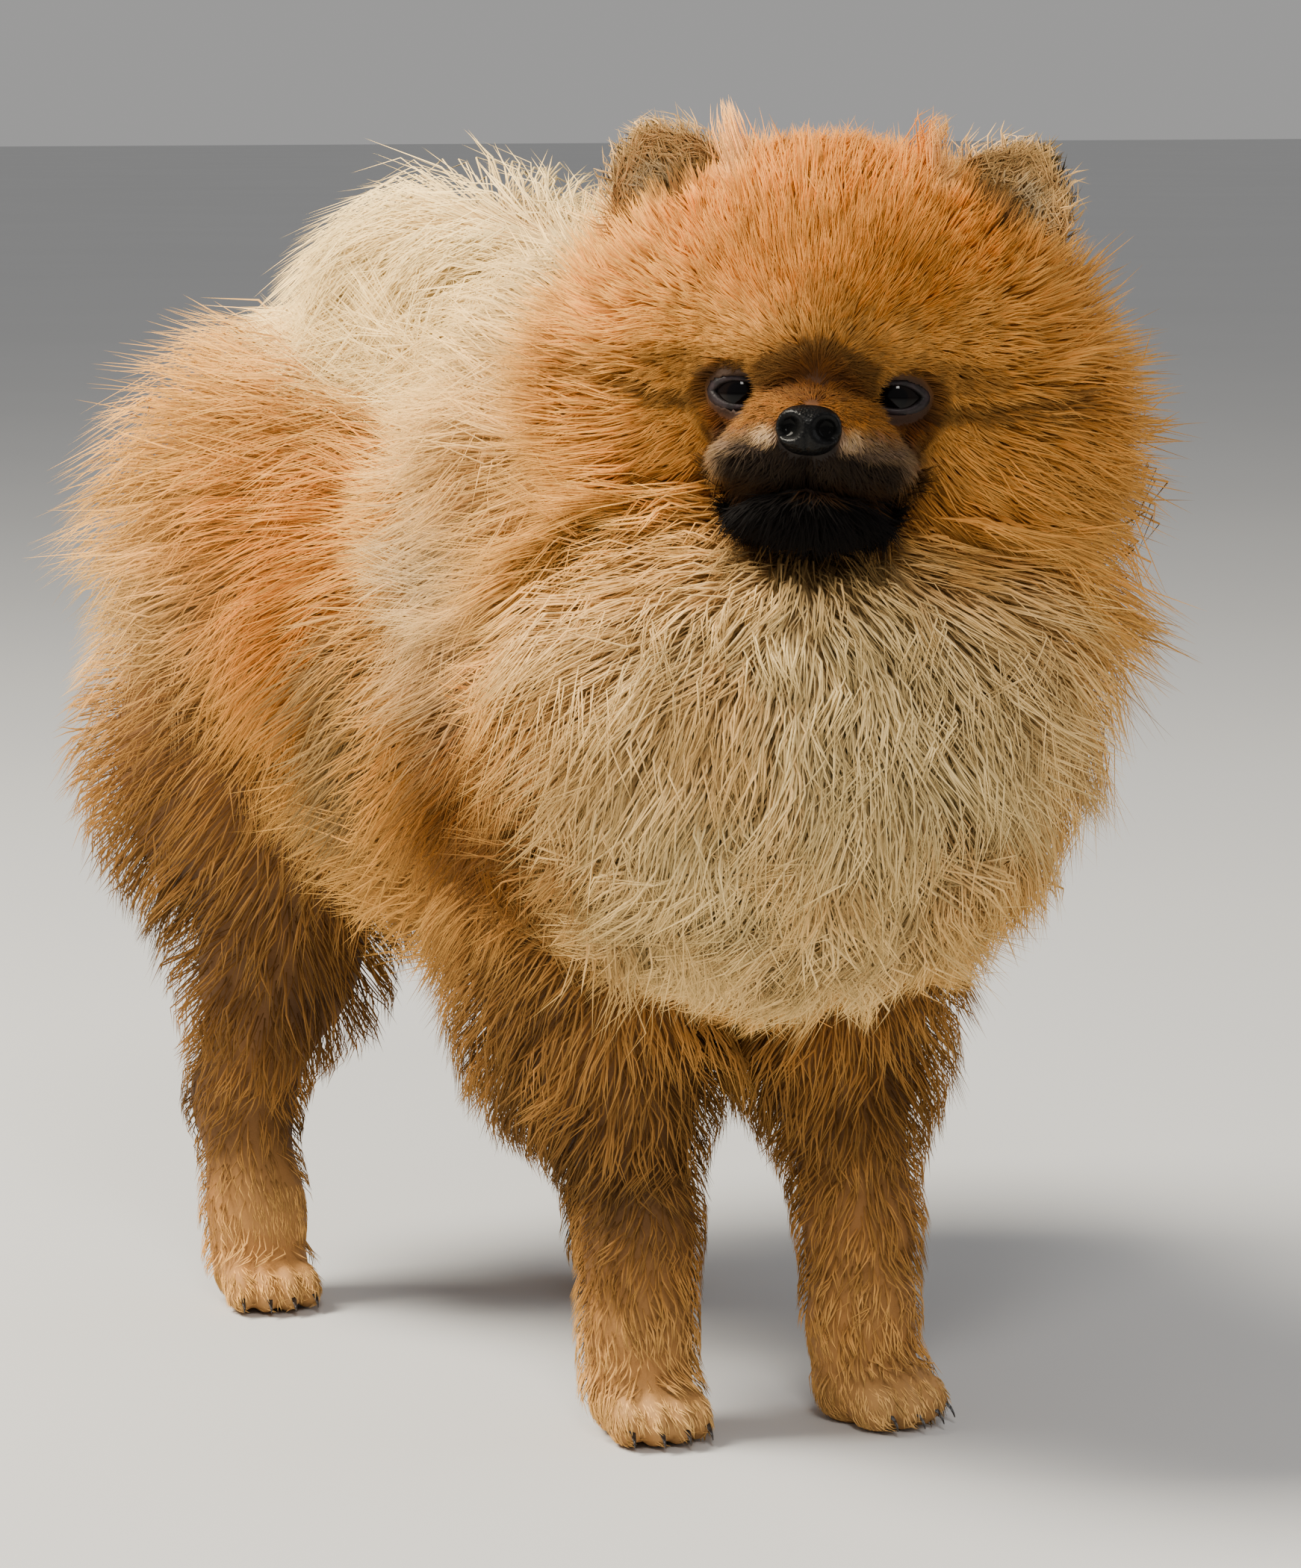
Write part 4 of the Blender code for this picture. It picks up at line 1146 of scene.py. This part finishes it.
claw_horn, tree, shader = finish("claw_horn", Roughness=0.32, Coat_Weight=0.2,
                                 Coat_Roughness=0.2, Specular_IOR_Level=0.5)
tone, _ = wandering(tree, 300.0, linear(22, 18, 16), linear(58, 48, 42))
plug(tree, shader.inputs["Base Color"], tone)
claws.data.materials.append(claw_horn)
print("finishes", nose_leather.name, claw_horn.name)

# %% [markdown]
# ## The lie of the coat
# Fur grows away from the nose, over the head, down the neck and back along the body. It
# stands out most in the ruff and the plume. A direction for each part of the body, written
# as a small formula, is blended by how near a root is to each part, so no parting shows.


# %% Directions
def unit(vectors):
    """Vectors of length 1"""
    return vectors / np.maximum(np.linalg.norm(vectors, axis=1), 1e-9)[:, None]


def lie(points, up, part):
    """The way the hair points at each root, along the skin whose normals are up"""
    x, y, z = points.T

    def ways(*along):
        return np.stack([np.broadcast_to(v, len(points)) for v in along], 1).astype(float)

    local = in_head(points)
    away = unit(local - (0, -0.050, -0.012))
    away += ways(0, 0.15, -0.25 + 0.5 * smooth(0.0, 0.02, local[:, 2]))
    low = smooth(-0.022, -0.031, local[:, 2])[:, None] * (local[:, 1] < 0.0)[:, None]
    lips = ways(local[:, 0] * 52, 0.12, -0.75)
    below = smooth(-0.15, -0.45, up[:, 2])
    steep = np.maximum(np.abs(up[:, 0]), up[:, 1])
    rear = smooth(0.175, 0.205, y)
    of_part = {
        "head": (unit(away) * (1 - low) + unit(lips) * low) @ HEAD_TURN.T,
        "neck": unit(local - (0, -0.02, -0.02)) @ HEAD_TURN.T + ways(
            0, 0.25 + 0.9 * smooth(0.255, 0.285, z), -0.65 * smooth(0.285, 0.255, z)),
        "torso": ways(0.25 * up[:, 0], 0.1 + 0.9 * smooth(-0.60, -0.05, up[:, 1]) + 0.6 * below,
                      -0.25 - 0.75 * steep * (1 - below) - 0.25 * below),
        "tail": ways(np.clip(x / 0.012, -1, 1) * 0.9, 0.25 + 0.6 * rear, -0.2 - 0.4 * rear),
        "leg_front": ways(0, 0.35, -1),
        "leg_hind": ways(0.15 * up[:, 0], np.where(up[:, 1] > 0, 0.75, 0.35), -0.9),
        "paw": ways(0, -0.8, -0.6),
    }
    way = np.zeros(points.shape)
    for name in NAMES:
        kind = next(kind for kind in of_part if name.startswith(kind))
        way += part[name][:, None] * unit(of_part[kind])
    way -= (way * up).sum(1)[:, None] * up
    return unit(way)


# %% Roots on the skin
mesh = skin.data
mesh.calc_loop_triangles()
corners = read(mesh.loops, "vertex_index", 1, int).reshape(-1, 3)
corner_uv = read(mesh.uv_layers["OFBake"].data, "uv", 2).reshape(-1, 3, 2)
normal = read(mesh.vertices, "normal", 3)
a, b, c = (skin_points[corners[:, i]] for i in range(3))
area = np.linalg.norm(np.cross(b - a, c - a), axis=1) / 2
middle = (a + b + c) / 3
middle_part = nearness(middle)
middle_head = in_head(middle)
on_ear = corners[:, 0] >= ear_start
print("skin area", round(area.sum(), 4), "m2")


def roots(weight, number):
    """Places on the skin, more where weight is high: points, normals and unwrap places"""
    total = np.cumsum(area * weight)
    pick = (np.arange(number) + draw.random(number)) / number * total[-1]
    face = np.minimum(np.searchsorted(total, pick), len(area) - 1)
    r, s = np.sqrt(draw.random(number)), draw.random(number)
    part = np.stack([1 - r, r * (1 - s), r * s], 1)
    place = (skin_points[corners[face]] * part[:, :, None]).sum(1)
    up = unit((normal[corners[face]] * part[:, :, None]).sum(1))
    flat = (corner_uv[face] * part[:, :, None]).sum(1)
    return place, up, flat


# %% [markdown]
# ## Growing tufts
# A tuft is a thin tapered blade with three sides, closed at both ends. Its path leaves the
# skin, climbs through the depth of the coat and bends over with the lie. At each step the
# point is moved on to the body's field at a growing share of the coat, so the hair follows
# every curve of the body and its tip ends in the outline. Short tufts, as on the lips, the
# ears and the paws, just bend over the skin. Neighbours lean towards a shared guide, which
# makes the pointed clumps of a woolly coat, and a little sway and frizz keeps them from
# looking combed. RISE says how early a tuft climbs.

# %% Grow
RISE = 1.6
SUNK = 0.0008
SUNK_SHORT = 0.0004


def grow(place, up, way, share, fuzz, length, steps, names):
    """Paths of tufts through the coat: points and normals, one row a step"""
    path, lift = [place - up * SUNK], [up]
    here = place
    for i in range(1, steps + 1):
        t = i / steps
        climb = 1 - (1 - t) ** RISE
        here = here + way * (length / steps)[:, None]
        level = SKIN_SHARE + (share - SKIN_SHARE) * climb
        for _ in range(2):
            far, gradient = slope(here, level, names)
            amount = (far - fuzz * climb) / np.maximum((gradient ** 2).sum(1), 0.2)
            move = gradient * amount[:, None]
            size = np.linalg.norm(move, axis=1)
            limit = 1.2 * length / steps + 0.002
            move *= np.minimum(1, limit / np.maximum(size, 1e-9))[:, None]
            here = here - move
        above = unit(gradient)
        way = unit(way - (way * above).sum(1)[:, None] * above)
        path.append(here)
        lift.append(above)
    return np.stack(path, 1), np.stack(lift, 1)


def grow_short(place, up, way, length, steps, stand):
    """Paths of short tufts that just bend over the skin"""
    path, lift = [], []
    for i in range(steps + 1):
        t = i / steps
        off = length[:, None] * (way * t + up * stand * (t - 0.45 * t * t))
        path.append(place - up * SUNK_SHORT + off)
        lift.append(up)
    return np.stack(path, 1), np.stack(lift, 1)


print("tufts climb with a power of", RISE)


# %% Clumps
def clumped(path, lift, spacing, strength, sway):
    """Paths drawn towards the nearest guide, with one shared sway a guide"""
    number, rows = path.shape[:2]
    reach = np.linalg.norm(path[:, -1] - path[:, 0], axis=1)
    sway = sway * np.minimum(1, reach / np.percentile(reach, 80))
    t = np.linspace(0, 1, rows)[None, :, None]
    across = unit(np.cross(path[:, -1] - path[:, 0], lift[:, 0]))
    guides = draw.permutation(number)[:max(4, int(number * spacing))]
    tree = KDTree(len(guides))
    for i, g in enumerate(guides):
        tree.insert(path[g, 0], i)
    tree.balance()
    nearest = np.array([tree.find(p)[1] for p in path[:, 0]])
    leader = guides[nearest]
    pull = strength * draw.uniform(0.55, 1.0, (number, 1, 1)) * t ** 1.3
    shared, twist, curl = draw.normal(0, 1, (3, len(guides)))[:, nearest]
    start = draw.uniform(-0.8, 0.8, len(guides))[nearest]
    tone = draw.random(len(guides))[nearest]
    path = path + pull * (path[leader] - path)
    own, other = 0.3 * draw.normal(0, 1, (2, number))
    bend = (sway * (shared + own))[:, None, None] * across[:, None, :]
    wave = (sway * 0.8 * (twist + other))[:, None, None] * across[:, None, :]
    frizz = draw.normal(0, 0.14, path.shape) * sway[:, None, None] * np.minimum(1, 2.0 * t)
    turns = np.sin(t * 6.0 + start[:, None, None]) * np.minimum(1, 3 * t)
    lifted = (sway * 0.45 * curl)[:, None, None] * lift * t * np.sin(t * 5.0)
    tint = 0.6 * tone + 0.4 * draw.random(number)
    return path + bend * t ** 2 + wave * turns + lifted + frizz, tint


print("clumps are drawn by", type(draw).__name__)


# %% [markdown]
# ## Blades
# Each path gets three corners a step and one point at its tip, so a tuft is a closed solid
# of few triangles. Flat shading would make it look like a paper strip. So its normals lean
# half way between its own sides and the way the coat faces: SOFT is the coat's share. Every
# tuft also takes a tiny patch of the skin's unwrap, at its root. A few strays stand out of
# the coat, as STRAYS says.

# %% Blades
SOFT = 0.85
THICK = 0.45
PATCH = 0.003
FLOOR_GAP = 0.0012
STRAYS, STRAY_REACH = 0.06, 0.14


def blades(name, path, lift, flat, masks, tint, width):
    """One coat piece from paths: closed three-sided tapered blades"""
    number, rows = path.shape[:2]
    steps = rows - 1
    path[:, :, 2] = np.maximum(path[:, :, 2], FLOOR_GAP)
    ahead = np.gradient(path, axis=1)
    ahead /= np.maximum(np.linalg.norm(ahead, axis=2), 1e-9)[:, :, None]
    side = np.cross(ahead, lift)
    side /= np.maximum(np.linalg.norm(side, axis=2), 1e-9)[:, :, None]
    outer = np.cross(side, ahead)
    t = np.linspace(0, 1, rows)
    taper = np.interp(t, (0, 0.3, 0.7, 1), (0.75, 1.0, 0.72, 0.0))
    half = width[:, None, None] / 2 * taper[None, :, None]
    verts = np.stack([path - side * half, path + side * half, path + outer * half * 2 * THICK], 2)
    verts = verts[:, :steps].reshape(number, steps * 3, 3)
    verts = np.concatenate([verts, path[:, -1:]], 1)
    each = steps * 3 + 1
    pattern = [(0, 1, 2)]
    for i in range(steps - 1):
        for j in range(3):
            k = (j + 1) % 3
            p, q = i * 3 + j, i * 3 + k
            pattern += [(p, p + 3, q), (q, p + 3, q + 3)]
    last = (steps - 1) * 3
    pattern += [(last + j, each - 1, last + (j + 1) % 3) for j in range(3)]
    pattern = np.array(pattern)
    faces = (pattern[None] + np.arange(number)[:, None, None] * each).reshape(-1, 3)
    made = object_of(name, verts.reshape(-1, 3), faces)
    mesh = made.data
    mesh.shade_smooth()
    soft = np.stack([SOFT * lift - side, SOFT * lift + side, SOFT * lift + outer], 2)
    soft = np.concatenate([soft[:, :steps].reshape(number, steps * 3, 3),
                           lift[:, -1:] + 0.4 * ahead[:, -1:]], 1)
    mesh.normals_split_custom_set_from_vertices(unit(soft.reshape(-1, 3)).tolist())
    along = np.append(np.repeat(t[:steps], 3), 1.0)
    store(mesh, "along", np.tile(along, number))
    store(mesh, "across", np.tile(np.append(np.tile((-1.0, 1.0, 0.0), steps), 0.0), number))
    store(mesh, "tint", np.repeat(tint, each))
    for mask, values in masks.items():
        store(mesh, mask, np.repeat(values, each))
    patch = np.stack([np.append(np.tile((-PATCH / 2, PATCH / 2, 0.0), steps), 0.0),
                      PATCH * (along - 0.5)], 1)
    place = (flat[:, None, :] + patch[None]).reshape(-1, 2)
    layer = mesh.uv_layers.new(name="OFBake")
    layer.data.foreach_set("uv", place[faces.reshape(-1)].reshape(-1))
    mesh.materials.append(fur)
    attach(made, "root")
    print(name, number, "tufts", len(faces), "triangles")


def coat(name, weight, number, slot_name, length, width, spread, spacing, strength, sway,
         steps=2, names=None, share=None, fuzz=0.002, stand=None, lengths=None, reach=None,
         under=0.5, pale_and_painted_light=0.0):
    """Grow one coat piece where weight is above 0; stand is given for short tufts only"""
    place, up, flat = roots(weight, number)
    way = lie(place, up, nearness(place))
    across = np.cross(way, up)
    way = unit(way + across * draw.normal(0, spread, number)[:, None])
    size = length * draw.uniform(0.75, 1.15, number)
    if lengths is not None:
        size = size * lengths(place)
    if stand is not None:
        path, lift = grow_short(place, up, way, size, steps, stand)
        path, tint = clumped(path, lift, spacing, strength, sway)
    else:
        low = draw.random(number) ** 2.2
        top = share[1] - (share[1] - share[0]) * low
        top += STRAY_REACH * (draw.random(number) < STRAYS)
        if reach is not None:
            top = top * reach(place)
        path, lift = grow(place, up, way, top, fuzz, size, steps, names)
        path, tint = clumped(path, lift, spacing, strength, sway)
        # Tufts low in the coat get darker. The last term lightens a whole piece: paler hair, and
        # on the plume also painted light on its top.
        tint = tint * (1 - under * low) + pale_and_painted_light
    wide = width * draw.uniform(0.7, 1.3, number)
    blades(name, path, lift, flat, markings(place), tint, wide)


print("blade thickness", THICK, "of its width")


# %% [markdown]
# ## The coat, region by region
# The long coat is laid in pieces that a groomer would name. Each has its own length, width
# of tuft, clumping and reach. The face is short and fine, the chest long and woolly. Skin
# round the eyes, on the nose and between the lips stays bare.

# %% Which faces grow which coat
in_part = np.stack([middle_part[name] for name in NAMES])
owner = np.array(NAMES)[in_part.argmax(0)]
x, y, z = middle_head.T
eye_near = [np.linalg.norm((middle_head - eye_spot(out)) @ eye_axes(out) /
                           (0.0092, 1.0, 0.0066), axis=1) for out in SIDES.values()]
bare = (np.minimum(*eye_near) < 1.0) & (y < -0.02)
bare |= np.linalg.norm((middle_head - NOSE_AT) / (0.0082, 0.010, 0.0062), axis=1) < 1
bare |= (np.abs(z - lip_line(x)) < 0.0009) & (y < -0.035) & (np.abs(x) < MOUTH_HALF)
on_head_faces = (owner == "head") & ~on_ear & ~bare
front = on_head_faces & face_patch(middle_head, -0.008, 0.038, 0.024)
lips = on_head_faces & face_patch(middle_head, -0.012, 0.026, -0.0245)
muzzle = front & ~lips & face_patch(middle_head, -0.030, 0.026, -0.004)
print("faces: face", front.sum(), "muzzle", muzzle.sum(), "ears", on_ear.sum())


def head_grown(points):
    """0 beside the nose and the eyes, 1 on the crown and far cheeks"""
    local = in_head(points)
    nose_far = np.linalg.norm(local - NOSE_AT, axis=1)
    under = smooth(-0.014, -0.024, local[:, 2])
    return np.minimum(smooth(0.012, 0.075 - 0.030 * under, nose_far),
                      smooth(0.009, 0.045 - 0.019 * under, eye_distance(local)))


def head_length(points):
    """Share of the longest hair on the head, short in front of the ears"""
    local = in_head(points)
    ear_far = np.linalg.norm(np.abs(local) * (1, 0, 0) + local * (0, 1, 1)
                             - (0.040, -0.004, 0.028), axis=1)
    return ((0.16 + 0.84 * head_grown(points) ** 1.2)
            * (0.30 + 0.70 * smooth(0.015, 0.036, ear_far)))


def muzzle_length(points):
    """Shortest beside the nose and at the inner corners of the eyes"""
    local = in_head(points)
    return ((0.45 + 0.55 * smooth(0.0085, 0.020, np.linalg.norm(local - NOSE_AT, axis=1)))
            * (0.30 + 0.70 * smooth(0.0115, 0.019, eye_distance(local))))


def lip_length(points):
    """Short under the nose, long on the chin and at the corners of the mouth"""
    local = in_head(points)
    low = smooth(-0.026, -0.042, local[:, 2])
    wide = smooth(0.006, 0.026, np.abs(local[:, 0]))
    return np.clip(0.44 + 0.62 * low + 0.40 * wide, 0, 1.15)


print("fine hair covers", int((head_grown(middle) < 0.5).sum()), "triangles of the skin")

# %% Coat of the face, the crown and the ears
fine_face = 1 + 2.5 * (1 - head_grown(middle))
coat("face_coat", (front & ~muzzle & ~lips) * fine_face, 15000, "head_coat", length=0.026,
     width=0.00050, spread=0.18, spacing=0.10, strength=0.45, sway=0.0009, names=["head"],
     share=(0.75, 1.0), lengths=head_length)
coat("muzzle_coat", muzzle, 8000, "head_coat", length=0.0085, width=0.00040, spread=0.30,
     spacing=0.10, strength=0.40, sway=0.0009, stand=0.46, lengths=muzzle_length)
coat("lip_coat", lips, 9000, "head_coat", length=0.0120, width=0.00045, spread=0.28,
     spacing=0.10, strength=0.40, sway=0.0013, stand=0.44, lengths=lip_length)
crown = on_head_faces & ~front & ~lips
for name, keep in (("crown_coat_left", crown & (middle_head[:, 0] > 0)),
                   ("crown_coat_right", crown & (middle_head[:, 0] <= 0))):
    coat(name, keep, 9500, "head_coat", length=0.027, width=0.00060, spread=0.24,
         spacing=0.08, strength=0.50, sway=0.0018, names=["head", "neck"],
         share=(0.50, 1.02), lengths=head_length)
coat("ear_coat", on_ear, 5500, "ear_coat", length=0.0098, width=0.00046, spread=0.65,
     spacing=0.08, strength=0.40, sway=0.0018, stand=0.72)
wisp = np.exp(-(((np.abs(x + 0.0017) - 0.021) / 0.0024) ** 2 + ((y + 0.002) / 0.0035) ** 2))
coat("ear_wisps", (crown & (z > 0.02)) * wisp, 170, "ear_coat", length=0.0085, width=0.00038,
     spread=0.25, spacing=0.03, strength=0.74, sway=0.0016, steps=3, stand=5.0)


# %% Ruff and chest
def chest_length(points):
    """Shorter low on the chest, where the legs start"""
    return 0.50 + 0.50 * smooth(0.120, 0.165, points[:, 2])


def chest_reach(points):
    """The coat gets thinner towards the bottom of the chest"""
    return 1 - 0.26 * smooth(0.170, 0.125, points[:, 2])


def ruff_length(points):
    """Shorter right under the chin"""
    return 0.60 + 0.40 * smooth(0.010, 0.045, np.linalg.norm(
        in_head(points) - (0, -0.030, -0.052), axis=1))


def ruff_reach(points):
    """The coat lies closer to the throat, under the chin"""
    return 1 - 0.36 * smooth(0.052, 0.020, np.linalg.norm(
        in_head(points) - (0, -0.026, -0.058), axis=1))


neck_faces = owner == "neck"
breast = (owner == "torso") & (middle[:, 1] < -0.005)
BODY_SET = ["torso", "neck", "head"]
for name, keep in (("ruff_right", neck_faces & (middle[:, 0] < 0)),
                   ("ruff_left", neck_faces & (middle[:, 0] >= 0))):
    coat(name, keep, 12000, "ruff", length=0.032, width=0.00062, spread=0.30, spacing=0.05,
         strength=0.74, sway=0.0056, names=BODY_SET, share=(0.40, 1.08),
         lengths=ruff_length, reach=ruff_reach, under=0.62, pale_and_painted_light=0.05)
coat("chest_coat", breast, 10500, "ruff", length=0.0255, width=0.00066, spread=0.32,
     spacing=0.035, strength=0.90, sway=0.0085, steps=3, names=BODY_SET, share=(0.40, 1.02),
     lengths=chest_length, reach=chest_reach, under=0.72, pale_and_painted_light=0.08)


# %% Body and tail
def rump_reach(points):
    """The coat stands further out over the top of the rump, beside the tail"""
    side = points * (np.where(points[:, :1] < 0, -1, 1) * (1, 0, 0) + (0, 1, 1))
    return 1 + 0.38 * np.exp(-(((side - (0.050, 0.192, 0.255)) / 0.034) ** 2).sum(1))


trunk = (owner == "torso") & ~breast
for name, keep in (("body_coat_right", trunk & (middle[:, 0] < 0)),
                   ("body_coat_left", trunk & (middle[:, 0] >= 0))):
    coat(name, keep, 10500, "body_coat", length=0.034, width=0.00064, spread=0.30,
         spacing=0.06, strength=0.62, sway=0.0034, names=["torso", "neck", "tail"],
         share=(0.40, 1.06), reach=rump_reach, under=0.6, pale_and_painted_light=0.04)
# The plume is lightened the most: partly paler hair, partly painted light on its top.
coat("tail_plume", owner == "tail", 9500, "tail_plume", length=0.040, width=0.00060,
     spread=0.32, spacing=0.06, strength=0.55, sway=0.0034, names=["tail", "torso"],
     share=(0.35, 0.94), under=0.1, pale_and_painted_light=0.30)


# %% Legs and paws
def leg_length(points):
    """Flat and short below the elbow and the hock, longer above"""
    return 0.55 + 0.45 * smooth(0.050, 0.110, points[:, 2])


for limb in ("front", "hind"):
    mine = np.isin(owner, ["leg_" + limb + "_left", "leg_" + limb + "_right"])
    names = ["torso"] + [kind + "_" + limb + "_" + side for kind in ("leg", "paw")
                         for side in SIDES]
    coat("leg_" + limb + "_coat", mine, 8000, "leg_coat", length=0.019, width=0.00055,
         spread=0.30, spacing=0.08, strength=0.55, sway=0.0020, names=names,
         share=(0.7, 1.1), fuzz=0.0024, lengths=leg_length)
claw_far = np.min([np.linalg.norm(middle - (root + turn @ (0, -0.009, -0.002)), axis=1)
                   for root, turn, _ in toes], axis=0)
paws = (np.array([name.startswith("paw") for name in owner]) & (middle[:, 2] > 0.0022)
        & (claw_far > 0.0040))
coat("paw_coat", paws, 5500, "paw_coat", length=0.0052, width=0.00042, spread=0.25,
     spacing=0.10, strength=0.3, sway=0.0004, stand=0.22)
total = sum(len(p.data.polygons) for p in bpy.data.objects if p.type == "MESH"
            and not p.hide_render)
print("faces in all", total)
